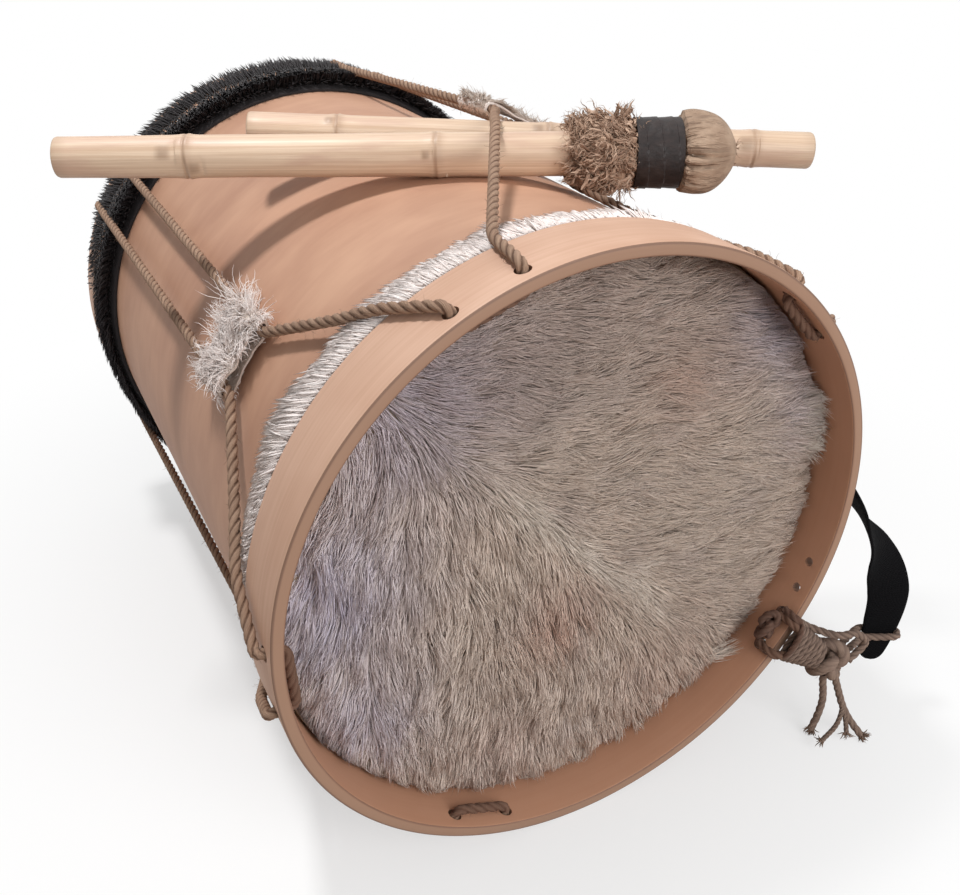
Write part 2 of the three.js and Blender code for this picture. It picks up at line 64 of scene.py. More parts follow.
drum = {
    "length": (rearHigh.y - hoopLow.y) / mm,
    "hoopRadius": (hoopHigh.x - hoopLow.x) / 2 / mm,
    "hoopWidth": (hoopHigh.y - hoopLow.y) / mm,
    "hoopWall": 6.4,
    "shellRadius": (shellHigh.x - shellLow.x) / 2 / mm,
    "shellWall": 6,
    "recess": (hideLow.y - hoopLow.y) / mm,
    "hideThickness": 1.6,
    "fringeReach": 28,
    "cadSides": 32,
}
hoopInner = drum["hoopRadius"] - drum["hoopWall"]
hoopMiddle = drum["hoopRadius"] - drum["hoopWall"] / 2
corner = 1 / math.cos(math.pi / drum["cadSides"])
hoopOuter = drum["hoopRadius"] * corner  # out to the corners of the CAD model's flat sides
shellOuter = drum["shellRadius"] * corner
rearY = drum["length"]


def place(point):  # from the drum's millimetres to the scene's metres
    return rimCentre + Vector(point) * mm


def polar(radius, angle, y):
    turn = math.radians(angle)
    return Vector((radius * math.cos(turn), y, radius * math.sin(turn)))


def bell(off, width, power=2):  # 1 in the middle, and next to nothing at twice the width
    return math.exp(-(off / width) ** power)


def tint(red, green, blue):  # a colour as the eye sees it, 0 to 255
    def linear(level):
        level /= 255
        return level / 12.92 if level <= 0.04045 else ((level + 0.055) / 1.055) ** 2.4
    return (linear(red), linear(green), linear(blue), 1)


# Camera: 1027 pixels of lens for a frame 960 wide
photo = {
    "place": (-0.2646, -0.5907, 0.4982), "view": (0.3944, 0.7680, -0.5046),
    "lensPixels": 1027.2, "width": 960, "sensor": 36,
}
cameraData = bpy.data.cameras.new("camera")
cameraData.sensor_width = photo["sensor"]
cameraData.lens = photo["lensPixels"] * cameraData.sensor_width / photo["width"]
camera = bpy.data.objects.new("camera", cameraData)
camera.location = photo["place"]
camera.rotation_mode = "QUATERNION"
camera.rotation_quaternion = Vector(photo["view"]).to_track_quat("-Z", "Y")
bpy.context.scene.collection.objects.link(camera)
bpy.context.scene.camera = camera


# Sockets that take plain arithmetic, for materials and for geometry
def isVector(value):
    if isinstance(value, Socket):
        return value.socket.type in {"VECTOR", "RGBA"}
    return isinstance(value, (tuple, Vector))


class Socket:
    def __init__(self, tree, socket):
        self.tree = tree
        self.socket = socket

    def out(self, name):
        return Socket(self.tree, self.socket.node.outputs[name])

    def to(self, operation, *others):
        return self.tree.calculate(operation, self, *others)

    def part(self, axis):
        return self.tree.node("ShaderNodeSeparateXYZ", {}, {0: self}, axis)

    def between(self, low, high, newLow=0.0, newHigh=1.0):
        places = {"Value": self, "From Min": low, "From Max": high, "To Min": newLow, "To Max": newHigh}
        return self.tree.node("ShaderNodeMapRange", {"interpolation_type": "SMOOTHSTEP"}, places)

    def __add__(self, other):
        return self.tree.calculate("ADD", self, other)

    def __radd__(self, other):
        return self.tree.calculate("ADD", other, self)

    def __sub__(self, other):
        return self.tree.calculate("SUBTRACT", self, other)

    def __rsub__(self, other):
        return self.tree.calculate("SUBTRACT", other, self)

    def __mul__(self, other):
        return self.tree.calculate("MULTIPLY", self, other)

    def __rmul__(self, other):
        return self.tree.calculate("MULTIPLY", other, self)

    def __truediv__(self, other):
        return self.tree.calculate("DIVIDE", self, other)

    def __rtruediv__(self, other):
        return self.tree.calculate("DIVIDE", other, self)


class Tree:
    def __init__(self, group):
        self.group = group

    def node(self, kind, settings=None, values=None, output=0):
        made = self.group.nodes.new(kind)
        for name, setting in (settings or {}).items():
            if name == "stops":
                ramp = made.color_ramp
                while len(ramp.elements) < len(setting):
                    ramp.elements.new(0.5)
                for element, (position, colour) in zip(ramp.elements, setting):
                    element.position = position
                    element.color = colour
            else:
                setattr(made, name, setting)
        for name, value in (values or {}).items():
            socket = made.inputs[name]
            if isinstance(value, Socket):
                self.group.links.new(value.socket, socket)
            elif hasattr(socket.default_value, "__len__") and not hasattr(value, "__len__"):
                socket.default_value = [value] * len(socket.default_value)
            else:
                socket.default_value = value
        return Socket(self, made.outputs[output]) if made.outputs else made

    def calculate(self, operation, *values):
        kind = "ShaderNodeVectorMath" if any(isVector(value) for value in values) else "ShaderNodeMath"
        output = "Value" if operation in {"DOT_PRODUCT", "LENGTH", "DISTANCE"} else 0
        return self.node(kind, {"operation": operation}, dict(enumerate(values)), output)

    def vector(self, x, y, z):
        return self.node("ShaderNodeCombineXYZ", {}, {0: x, 1: y, 2: z})

    def mix(self, factor, first, second):
        return self.node("ShaderNodeMix", {"data_type": "RGBA"}, {0: factor, 6: first, 7: second}, 2)

    def noise(self, vector, scale, detail=2.0, roughness=0.5):
        values = {"Vector": vector, "Scale": scale, "Detail": detail, "Roughness": roughness}
        return self.node("ShaderNodeTexNoise", {}, values)

    # In a material
    def attribute(self, name, output="Vector"):
        return self.node("ShaderNodeAttribute", {"attribute_name": name}, {}, output)

    def coordinates(self):
        return self.node("ShaderNodeTexCoord", {}, {}, "Object")

    def follow(self):  # the piece's own map: x goes round it or across it, y along it in millimetres
        return self.node("ShaderNodeUVMap", {"uv_map": "follow"})

    # In geometry
    def stored(self, name, kind="FLOAT_VECTOR"):
        return self.node("GeometryNodeInputNamedAttribute", {"data_type": kind}, {"Name": name})

    def keep(self, geometry, name, value, kind="FLOAT_VECTOR"):
        store = {"data_type": kind, "domain": "POINT"}
        values = {"Geometry": geometry, "Name": name, "Value": value}
        return self.node("GeometryNodeStoreNamedAttribute", store, values)

    def move(self, geometry, position):
        return self.node("GeometryNodeSetPosition", {}, {"Geometry": geometry, "Position": position})

    def close(self, geometry, finish):
        for kind in ("GeometryNodeSetShadeSmooth", "GeometryNodeRealizeInstances"):
            geometry = self.node(kind, {}, {"Geometry": geometry})
        geometry = self.node("GeometryNodeSetMaterial", {}, {"Geometry": geometry, "Material": finish})
        self.node("NodeGroupOutput", {}, {"Geometry": geometry})


def material(name):
    made = bpy.data.materials.new(name)
    made.use_nodes = True
    return made, Tree(made.node_tree)


def surface(tree, colour, roughness, height=None, depth=0.0, fixed=None):
    shader = tree.group.nodes["Principled BSDF"]
    links = tree.group.links
    for name, value in {"Base Color": colour, "Roughness": roughness, **(fixed or {})}.items():
        if isinstance(value, Socket):
            links.new(value.socket, shader.inputs[name])
        else:
            shader.inputs[name].default_value = value
    if height is not None:
        bump = tree.node("ShaderNodeBump", {}, {"Height": height, "Distance": depth, "Strength": 1.0})
        links.new(bump.socket, shader.inputs["Normal"])


def groupSockets(group, wanted):  # the inputs of a geometry tree, by name
    for name, (kind, value) in wanted.items():
        made = group.interface.new_socket(name, in_out="INPUT", socket_type=kind)
        if value is not None:
            made.default_value = value
    group.interface.new_socket("Geometry", in_out="OUTPUT", socket_type="NodeSocketGeometry")


# Runs a geometry tree on a mesh, and keeps what it makes as a plain mesh
def grow(source, name, group, values, keep=()):
    holder = bpy.data.objects.new(name, source)
    bpy.context.scene.collection.objects.link(holder)
    modifier = holder.modifiers.new("shape", "NODES")
    modifier.node_group = group
    for item in group.interface.items_tree:
        if item.in_out == "INPUT" and item.name in values:
            modifier[item.identifier] = values[item.name]
    bpy.context.view_layer.update()
    evaluated = holder.evaluated_get(bpy.context.evaluated_depsgraph_get())
    mesh = bpy.data.meshes.new_from_object(evaluated)
    mesh.name = name
    for spare in [a.name for a in mesh.attributes if not a.is_internal and not a.is_required]:
        if spare not in keep and spare not in {"sharp_face", "sharp_edge", "material_index"}:
            mesh.attributes.remove(mesh.attributes[spare])
    bpy.data.objects.remove(holder)
    piece = bpy.data.objects.new(name, mesh)
    bpy.context.scene.collection.objects.link(piece)
    return piece


def meshPiece(name, points, faces, finish, sharp=sharpFrom, uvs=None):
    mesh = bpy.data.meshes.new(name)
    mesh.from_pydata([place(p) for p in points], [], faces)
    if uvs is not None:
        layer = mesh.uv_layers.new(name="follow")
        for polygon, corners in zip(mesh.polygons, uvs):
            for loop, uv in zip(polygon.loop_indices, corners):
                layer.data[loop].uv = uv
    mesh.shade_smooth()
    mesh.set_sharp_from_angle(angle=math.radians(sharp))
    mesh.materials.append(finish)
    piece = bpy.data.objects.new(name, mesh)
    bpy.context.scene.collection.objects.link(piece)
    return piece


def settle(piece, body, slot, *nodes):
    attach(piece, body)
    if nodes:
        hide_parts(*nodes)
    return piece


# A section of (radius, distance) pairs, turned about the drum's axis or a stick's own
def turnedPiece(name, section, sides, finish, shape=None, frameOf=None, closed=True, sharp=sharpFrom):
    onAxis = frameOf or (lambda radius, turn, distance: polar(radius, math.degrees(turn), distance))
    points = []
    for i in range(sides):
        turn = 2 * math.pi * i / sides
        for radius, distance in section:
            nudge = shape(turn, radius, distance) if shape else 0
            points.append(onAxis(radius + nudge, turn, distance))
    rows = len(section)
    last = rows if closed else rows - 1
    lengths = [0.0]
    for j in range(rows):
        lengths.append(lengths[-1] + math.dist(section[j], section[(j + 1) % rows]))
    faces, uvs = [], []
    for i in range(sides):
        after = (i + 1) % sides
        for j in range(last):
            k = (j + 1) % rows
            faces.append((i * rows + j, after * rows + j, after * rows + k, i * rows + k))
            left, right, low, high = i / sides, (i + 1) / sides, lengths[j], lengths[j + 1]
            uvs.append([(left, low), (right, low), (right, high), (left, high)])
    if not closed:
        for j in (0, rows - 1):
            faces.append(tuple(i * rows + j for i in range(sides)))
            uvs.append([(i / sides, lengths[j]) for i in range(sides)])
    return outwards(meshPiece(name, points, faces, finish, sharp, uvs))


def outwards(piece):
    work = bmesh.new()
    work.from_mesh(piece.data)
    bmesh.ops.recalc_face_normals(work, faces=work.faces)
    work.to_mesh(piece.data)
    work.free()
    return piece


def softSection(corners, radius, steps=3):  # a closed section with its corners rounded
    made = []
    count = len(corners)
    for i, here in enumerate(corners):
        here = Vector(here)
        before = Vector(corners[i - 1]) - here
        after = Vector(corners[(i + 1) % count]) - here
        reach = min(radius, before.length * 0.45, after.length * 0.45)
        start, end = here + before.normalized() * reach, here + after.normalized() * reach
        for k in range(steps + 1):
            t = k / steps
            made.append(tuple(start * (1 - t) ** 2 + here * (2 * t * (1 - t)) + end * t * t))
    return made


# Wood: the grain's scales are waves to a metre, along it, across it and of its patches
hoopWood = {
    "light": tint(214, 176, 152), "dark": tint(194, 152, 126), "along": 9, "across": 420,
    "patches": 26, "rougher": 0.0,
    # inside: redder than the outer side, and darker as painted shade of the recess
    "inside": tint(194, 142, 112), "rim": tint(156, 122, 100), "rimEdge": tint(98, 70, 55),
}
shellWood = {
    "light": tint(200, 157, 130), "dark": tint(174, 130, 106), "along": 14, "across": 30,
    "patches": 16, "rougher": 0.02,
}
ringWood = {
    "light": tint(190, 152, 116), "dark": tint(150, 112, 82), "along": 9, "across": 500,
    "patches": 30, "rougher": 0.1,
}


# A point measured from the middle of the front rim in metres, and its distance from the axis
def fromAxis(tree):
    coordinates = tree.coordinates() - tuple(rimCentre)
    flat = coordinates * (1.0, 0.0, 1.0)
    return coordinates, flat.to("LENGTH")


def woodFinish(name, look):
    made, tree = material(name)
    at, radius = fromAxis(tree)
    grain = look["along"]
    stretched = tree.vector(at.part("X") * grain, (at.part("Y") + radius) * look["across"],
                            at.part("Z") * grain)
    lines = tree.noise(stretched, 1.0, 4.0, 0.6)
    fine = tree.noise(stretched * (2.0, 4.0, 2.0), 1.0, 3.0, 0.6)
    patches = tree.noise(at, look["patches"], 2.0, 0.5)
    share = lines.between(0.3, 0.7) * 0.4 + fine.between(0.3, 0.7) * 0.15 + patches.between(0.3, 0.7) * 0.45
    colour = tree.mix(share, look["dark"], look["light"])
    if "rim" in look:  # the hoop's inner side is redder, and darker as painted shade of the recess; its cut rim brown with darker edges
        inner = radius.between((hoopInner + 2) * mm, (hoopInner + 0.5) * mm)
        colour = tree.mix(inner * 0.8, colour, look["inside"])
        facing = tree.node("ShaderNodeNewGeometry", {}, {}, "True Normal").part("Y").to("ABSOLUTE")
        edges = (radius - hoopMiddle * mm).to("ABSOLUTE").between(0.0019, 0.003)
        rim = tree.mix(edges * 0.8 + fine * 0.2, look["rim"], look["rimEdge"])
        colour = tree.mix(facing.between(0.35, 0.75) * 0.85, colour, rim)
    surface(tree, colour, 0.55 + patches * 0.1 + look["rougher"], lines * 0.6 + fine * 0.4, 0.00012)
    return made


hoopFinish = woodFinish("bent_hoop_wood", hoopWood)
shellFinish = woodFinish("shell_wood", shellWood)


# Shell and hoops
shellLook = {"sides": 192, "endRound": 1.5, "endGap": 0.4, "stations": 24, "unevenness": 0.35}
hoopLook = {
    "sides": 256, "edgeRound": 1.3, "unevenness": 0.3,
    "holeRadius": 4.1, "holeSides": 24, "spareRadius": 2.8, "holeInset": 10,
}
lacing = {  # degrees: the pairs of holes, the spare holes, and half of what parts a pair
    "front": [-35, 44, 111, 183, 247],
    "rear": [4.5, 71, 145, 216, 293],
    "spare": [-18.4, -24.6],
    "half": 6,
    "tieHalf": 4,
}


def uneven(size, scale, seed):
    def shape(turn, radius, distance):
        where = Vector((math.cos(turn) * scale, math.sin(turn) * scale, distance / 90 + seed))
        return noise.noise(where) * size
    return shape


def between(here, after, steps):  # the places from one corner of a section up to the next
    return [(here[0] + (after[0] - here[0]) * k / steps, here[1] + (after[1] - here[1]) * k / steps)
            for k in range(steps)]


def makeShell():
    start = drum["recess"] + drum["hideThickness"] + shellLook["endGap"]
    end = rearY - start
    inner = shellOuter - drum["shellWall"]
    corners = [(inner, start), (shellOuter, start), (shellOuter, end), (inner, end)]
    ends = softSection(corners, shellLook["endRound"])
    section = []
    for i, here in enumerate(ends):
        after = ends[(i + 1) % len(ends)]
        steps = shellLook["stations"] if math.dist(here, after) > 50 else 1
        section += between(here, after, steps)
    shape = uneven(shellLook["unevenness"], 1.5, 3)
    piece = turnedPiece("round_shell", section, shellLook["sides"], shellFinish, shape)
    settle(piece, "drum", "shell_wood", "shell")


def makeHoop(name, node, rimY, inward, holes):
    outer = drum["hoopRadius"] * (1 + (corner - 1) * 0.5)  # between the CAD model's flats and its corners
    deepY = rimY + inward * drum["hoopWidth"]
    corners = [(hoopInner, rimY), (outer, rimY), (outer, deepY), (hoopInner, deepY)]
    section = softSection(corners, hoopLook["edgeRound"])
    shape = uneven(hoopLook["unevenness"], 2.2, rimY)
    piece = turnedPiece(name, section, hoopLook["sides"], hoopFinish, shape)
    drills = bmesh.new()
    for angle, radius in holes:
        centre = place(polar(hoopMiddle, angle, rimY + inward * hoopLook["holeInset"]))
        turn = Vector((0, 0, 1)).rotation_difference(polar(1, angle, 0)).to_matrix().to_4x4()
        sizes = {"radius1": radius * mm, "radius2": radius * mm, "depth": 4 * drum["hoopWall"] * mm}
        bmesh.ops.create_cone(drills, cap_ends=True, segments=hoopLook["holeSides"],
                              matrix=Matrix.Translation(centre) @ turn, **sizes)
    mesh = bpy.data.meshes.new("drills")
    drills.to_mesh(mesh)
    drills.free()
    cutter = bpy.data.objects.new("drills", mesh)
    bpy.context.scene.collection.objects.link(cutter)
    modifier = piece.modifiers.new("holes", "BOOLEAN")
    modifier.operation = "DIFFERENCE"
    modifier.object = cutter
    modifier.solver = "EXACT"
    bpy.context.view_layer.update()
    drilled = bpy.data.meshes.new_from_object(piece.evaluated_get(bpy.context.evaluated_depsgraph_get()))
    piece.modifiers.clear()
    piece.data = drilled
    drilled.set_sharp_from_angle(angle=math.radians(sharpFrom))
    bpy.data.objects.remove(cutter)
    settle(piece, "drum", "hoop_wood", node)


def holePairs(angles, half):
    return [(angle + side * half, hoopLook["holeRadius"]) for angle in angles for side in (-1, 1)]


makeShell()
tieHoles = holePairs(lacing["front"][:1], lacing["tieHalf"])
spareHoles = [(angle, hoopLook["spareRadius"]) for angle in lacing["spare"]]
frontHoles = holePairs(lacing["front"][1:], lacing["half"]) + tieHoles + spareHoles
rearHoles = holePairs(lacing["rear"], lacing["half"]) + tieHoles
makeHoop("front_bent_hoop", "front_hoop", 0, 1, frontHoles)
makeHoop("rear_bent_hoop", "rear_hoop", rearY, -1, rearHoles)
print("shell and hoops made")


# Sticks: distances along them are measured from where they rest on the shell
def stickLine(node, joint, back):
    axis = Vector(next(j for j in frame["joints"] if j["name"] == joint)["axis"]).normalized()
    points = [(vertex.co - rimCentre) / mm for vertex in frame["nodes"][node].data.vertices]
    low = min(point.dot(axis) for point in points)
    end = [point for point in points if point.dot(axis) < low + 0.2]
    start = sum(end, Vector()) / len(end)
    side = axis.cross(Vector((0, 0, 1))).normalized()
    return {"start": start + axis * back, "axis": axis, "side": side, "up": side.cross(axis)}


def stickPoint(line, distance):
    return line["start"] + line["axis"] * distance


def roundStick(line):
    def spot(radius, turn, distance):
        outward = line["side"] * math.cos(turn) + line["up"] * math.sin(turn)
        return stickPoint(line, distance) + outward * radius
    return spot


mallet = {
    "tail": 219, "tipRadius": 11, "caneRadius": 12.3, "knots": [-148, -13], "caneEnd": 135,
    "ballCentre": 130, "ballRadius": 23.3, "clothThickness": 3,
    "tapeStart": 96, "tapeEnd": 121.4, "tapeRadius": 19.1,
    "collarStart": 57, "collarRadius": 22,
    "scars": [(-159, 28, 7), (-143, -20, 6), (-18, 15, 4)],  # cut branches: distance, degrees round, size
}
plain = {
    "back": 111, "front": 223, "radius": 10.6, "knots": [-60, 63, 186],
    "scars": [(57, 60, 6), (181, 30, 8), (-64, 60, 5)],
}
malletLine = stickLine("mallet_cane", "mallet_slide", mallet["tail"])
plainLine = stickLine("plain_cane", "stick_slide", plain["back"])

caneLook = {"sides": 48, "swell": 0.6, "groove": 0.35, "flute": 0.9, "roundEnd": 1.5}
caneTones = {
    "dark": tint(204, 173, 146), "light": tint(233, 209, 184), "fibre": tint(190, 160, 128),
    "blotch": tint(196, 160, 140), "knot": tint(156, 124, 100), "scar": tint(138, 108, 86),
    "cut": tint(140, 116, 88),
}


def bamboo():
    made, tree = material("bamboo")
    marks = tree.attribute("marks")  # knot, scar and cut end
    follow = tree.follow()
    turn = follow.part("X") * (2 * math.pi)
    around = tree.vector(turn.to("COSINE"), turn.to("SINE"), follow.part("Y") * 0.006)
    streaks = tree.noise(around * (9.0, 9.0, 1.0), 1.0, 4.0, 0.65)
    fibres = tree.noise(around * (42.0, 42.0, 3.0), 1.0, 3.0, 0.6)
    blotches = tree.noise(around * (1.4, 1.4, 3.0), 1.0, 3.0, 0.55)
    colour = tree.mix(streaks.between(0.25, 0.75), caneTones["dark"], caneTones["light"])
    colour = tree.mix(fibres.between(0.35, 0.7) * 0.35, colour, caneTones["fibre"])
    colour = tree.mix(blotches.between(0.45, 0.7) * 0.6, colour, caneTones["blotch"])
    for axis, label, share in (("X", "knot", 0.6), ("Y", "scar", 0.7), ("Z", "cut", 0.6)):
        colour = tree.mix(marks.part(axis) * share, colour, caneTones[label])
    height = streaks * 0.4 + fibres * 0.6
    surface(tree, colour, 0.42 + fibres * 0.2, height, 0.00015,
            {"Coat Weight": 0.12, "Coat Roughness": 0.3})
    return made


bambooFinish = bamboo()


def makeCane(name, node, body, line, start, end, radii, knots, scars):
    def radiusAt(distance):
        return radii[0] + (radii[1] - radii[0]) * (distance - start) / (end - start)

    scars = [(scarAt, math.radians(scarTurn), size) for scarAt, scarTurn, size in scars]
    stations = {start + caneLook["roundEnd"], end - caneLook["roundEnd"]}
    stations.update(start + k * (end - start) / 40 for k in range(1, 40))
    for knot in knots:
        stations.update(knot + step * 0.8 for step in range(-12, 13))
    for distance, _, size in scars:
        stations.update(distance + step * size / 4 for step in range(-6, 7))
    inside = sorted(s for s in stations if start + 1 < s < end - 1)
    cut = caneLook["roundEnd"]
    first, last = radii
    section = [(first * 0.35, start + 0.4), (first - cut, start), (first - cut * 0.3, start + cut * 0.3)]
    section += [(radiusAt(s), s) for s in inside]
    section += [(last - cut * 0.3, end - cut * 0.3), (last - cut, end), (last * 0.35, end - 0.4)]

    def shape(turn, radius, distance):
        nudge = 0.25 * noise.noise(Vector((math.cos(turn), math.sin(turn), distance / 60 + radii[0])))
        for i, knot in enumerate(knots):
            off = distance - knot + 0.5 * math.sin(turn * 2 + i)
            nudge += caneLook["swell"] * bell(off, 4.5) + 0.22 * bell(off - 1.6, 1.1)
            nudge -= caneLook["groove"] * bell(off, 0.8)
        for scarAt, scarTurn, size in scars:
            apart = math.remainder(turn - scarTurn, 2 * math.pi) * radius
            behind = math.exp(-max(0, scarAt - distance) / 34) * (distance < scarAt + size)
            nudge -= caneLook["flute"] * (bell(apart, size * 0.8) * behind)
            nudge += 0.7 * math.exp(-(apart / (size * 0.5)) ** 2
                                    - ((distance - scarAt) / (size * 0.45)) ** 2)
        return nudge if radius > radiusAt(distance) * 0.6 else 0

    piece = turnedPiece(name, section, caneLook["sides"], bambooFinish, shape, roundStick(line),
                        closed=False)
    marks = piece.data.attributes.new("marks", "FLOAT_VECTOR", "POINT")
    for vertex, mark in zip(piece.data.vertices, marks.data):
        offset = (vertex.co - rimCentre) / mm - line["start"]
        distance = offset.dot(line["axis"])
        turn = math.atan2(offset.dot(line["up"]), offset.dot(line["side"]))
        knot = max(bell(distance - k - 1.5, 3) * 0.55 + bell(distance - k, 0.9) for k in knots)
        scar = 0
        for scarAt, scarTurn, size in scars:
            apart = math.remainder(turn - scarTurn, 2 * math.pi) * radiusAt(distance)
            off = (distance - scarAt) / (size * 0.55)
            scar = max(scar, 0.8 * math.exp(-(apart / (size * 0.6)) ** 4 - off ** 4))
        cutEnd = math.exp(-min(distance - start, end - distance) / 1.2)
        mark.vector = (min(1, knot), scar, cutEnd)
    return settle(piece, body, "bamboo", node)


makeCane("mallet_handle", "mallet_cane", "mallet", malletLine, -mallet["tail"], mallet["caneEnd"],
         (mallet["tipRadius"], mallet["caneRadius"]), mallet["knots"], mallet["scars"])
makeCane("plain_stick", "plain_cane", "stick", plainLine, -plain["back"], plain["front"],
         (plain["radius"], plain["radius"]), plain["knots"], plain["scars"])
print("canes made")


# The mallet's head: cloth ball and tape
# crease is a painted shade for the ball's creases
clothTones = {"hole": tint(104, 84, 70), "crease": tint(118, 94, 78)}
weavePitch = 0.62
tapeLook = {
    "dark": tint(25, 18, 17), "light": tint(44, 34, 32), "dust": tint(100, 88, 84),
    "sides": 128, "rings": 70, "wall": 1, "turn": 8.5, "step": 0.55, "wrinkle": 0.2,
}


def burlap(name, light, dark, threads, creased):
    made, tree = material(name)
    follow = tree.follow()
    across = follow.part("X") * (threads * 2 * math.pi)
    down = follow.part("Y") * (math.pi / weavePitch)
    warp = across.to("SINE").to("ABSOLUTE")
    weft = down.to("SINE").to("ABSOLUTE")
    weave = warp.to("MAXIMUM", weft) * 0.5 + warp * weft * 0.5
    at = tree.coordinates()
    soil = tree.noise(at, 90.0, 3.0, 0.55)
    fuzz = tree.noise(at, 900.0, 2.0, 0.6)
    turn = follow.part("X") * (2 * math.pi)
    around = tree.vector(turn.to("COSINE") * 5.0, turn.to("SINE") * 5.0, follow.part("Y") * 0.05)
    creases = tree.noise(around, 1.0, 3.0, 0.55)
    faded = creased * (1.0 - follow.part("Y").between(16.0, 44.0))
    colour = tree.mix(soil.between(0.3, 0.7), dark, light)
    colour = tree.mix((1.0 - weave) * 0.3, colour, clothTones["hole"])
    # painted shade in the creases near the tape
    colour = tree.mix((1.0 - creases.between(0.36, 0.5)) * faded * 0.5, colour, clothTones["crease"])
    surface(tree, colour, 0.92, weave * 0.25 + fuzz * 0.3 + creases.between(0.3, 0.6) * faded * 3.0, 0.0006)
    return made


clothFinish = burlap("burlap_cloth", tint(192, 165, 142), tint(164, 137, 116), 84, 1.0)
ragFinish = burlap("burlap_rags", tint(190, 158, 134), tint(150, 118, 98), 46, 0.0)
pleats = {"count": 11, "depth": 5.4, "run": 21, "fine": 0.7, "lumps": 1.2}


def makeBall():
    centre, radius, wall = mallet["ballCentre"], mallet["ballRadius"] - 0.3, mallet["clothThickness"]
    edge = mallet["tapeEnd"]
    neck, start = mallet["tapeRadius"] - 1.3, edge - 6
    opening = math.acos((edge + 0.3 - centre) / radius)
    outer = [(neck, start), (neck, edge - 0.4), (neck + 1.2, edge + 0.4)]
    steps = 34
    for k in range(1, steps):
        turn = opening * (1 - k / steps)
        outer.append((radius * math.sin(turn), centre + radius * math.cos(turn)))
    tip = outer[-1][1]
    inner = [(0.6, tip - wall), (9, tip - wall - 1.5), (15, centre + 10)]
    inner += [(neck - wall, edge), (neck - wall, start)]

    def shape(turn, radiusHere, distance):
        past = distance - edge
        if past < 0 or radiusHere < 1:
            return 0
        wander = turn + 0.25 * math.sin(3 * turn + 1) + 0.12 * math.sin(7 * turn)
        wander += 0.01 * past * math.sin(5 * turn)
        ridge = abs(math.sin(pleats["count"] * wander / 2))
        crease = -(1 - ridge) ** 1.3 * (0.65 + 0.35 * math.sin(3 * turn + 0.6))
        small = -pleats["fine"] * (1 - abs(math.sin(15.5 * wander + 0.4))) ** 2
        reach = pleats["run"] * (0.75 + 0.5 * math.sin(4 * turn + 2) * math.sin(2.6 * turn))
        fade = bell(past, reach, 1.5)
        lumps = noise.noise(Vector((math.cos(turn) * 1.6, math.sin(turn) * 1.6, distance / 14)))
        return (pleats["depth"] * crease + small) * fade + pleats["lumps"] * lumps * min(1, radiusHere / 8)

    piece = turnedPiece("cloth_ball", outer + inner, 160, clothFinish, shape, roundStick(malletLine))
    settle(piece, "mallet", "burlap", "mallet_cloth")


def makeTape():
    made, tree = material("dark_tape")
    follow = tree.follow()
    at = tree.coordinates()
    wrinkles = tree.noise(at * (1.0, 1.0, 2.0), 160.0, 4.0, 0.6)
    dust = tree.noise(at, 45.0, 3.0, 0.6).between(0.55, 0.8)
    colour = tree.mix(wrinkles.between(0.3, 0.7), tapeLook["dark"], tapeLook["light"])
    colour = tree.mix(dust * 0.25, colour, tapeLook["dust"])
    height = wrinkles + follow.part("Y") * 0.02
    gloss = {"Coat Weight": 0.08, "Specular IOR Level": 0.3}
    surface(tree, colour, 0.42 + wrinkles * 0.25, height, 0.0006, gloss)
    outer, inner = mallet["tapeRadius"], mallet["tapeRadius"] - tapeLook["wall"]
    start, end, rings = mallet["tapeStart"], mallet["tapeEnd"], tapeLook["rings"]
    section = [(outer, start + (end - start) * k / rings) for k in range(rings + 1)]
    section += [(inner, end), (inner, start)]

    def shape(turn, radius, distance):
        if radius < outer - 0.5:
            return 0
        wrap = (distance / tapeLook["turn"] + turn / (2 * math.pi) + 0.03 * math.sin(3 * turn)) % 1
        wrinkle = noise.noise(Vector((math.cos(turn) * 3, math.sin(turn) * 3, distance / 5)))
        return tapeLook["step"] * wrap - 0.35 + tapeLook["wrinkle"] * wrinkle

    spot = roundStick(malletLine)
    piece = turnedPiece("wound_tape", section, tapeLook["sides"], made, shape, spot, sharp=50)
    settle(piece, "mallet", "dark_tape", "mallet_tape")


def woolFinish():
    made, tree = material("wool_padding")
    wool = tree.noise(tree.coordinates(), 300.0, 4.0, 0.65)
    surface(tree, tree.mix(wool, tint(168, 154, 136), tint(206, 194, 176)), 0.95, wool, 0.001)
    return made


def dress(node, finish):  # a hidden solid keeps its CAD mesh
    slots = frame["nodes"][node].data.materials
    slots.clear()
    slots.append(finish)


makeBall()
makeTape()
dress("mallet_padding", woolFinish())
ringFinish = woodFinish("flesh_ring_wood", ringWood)
dress("front_flesh_ring", ringFinish)
dress("rear_flesh_ring", ringFinish)
print("mallet head made")


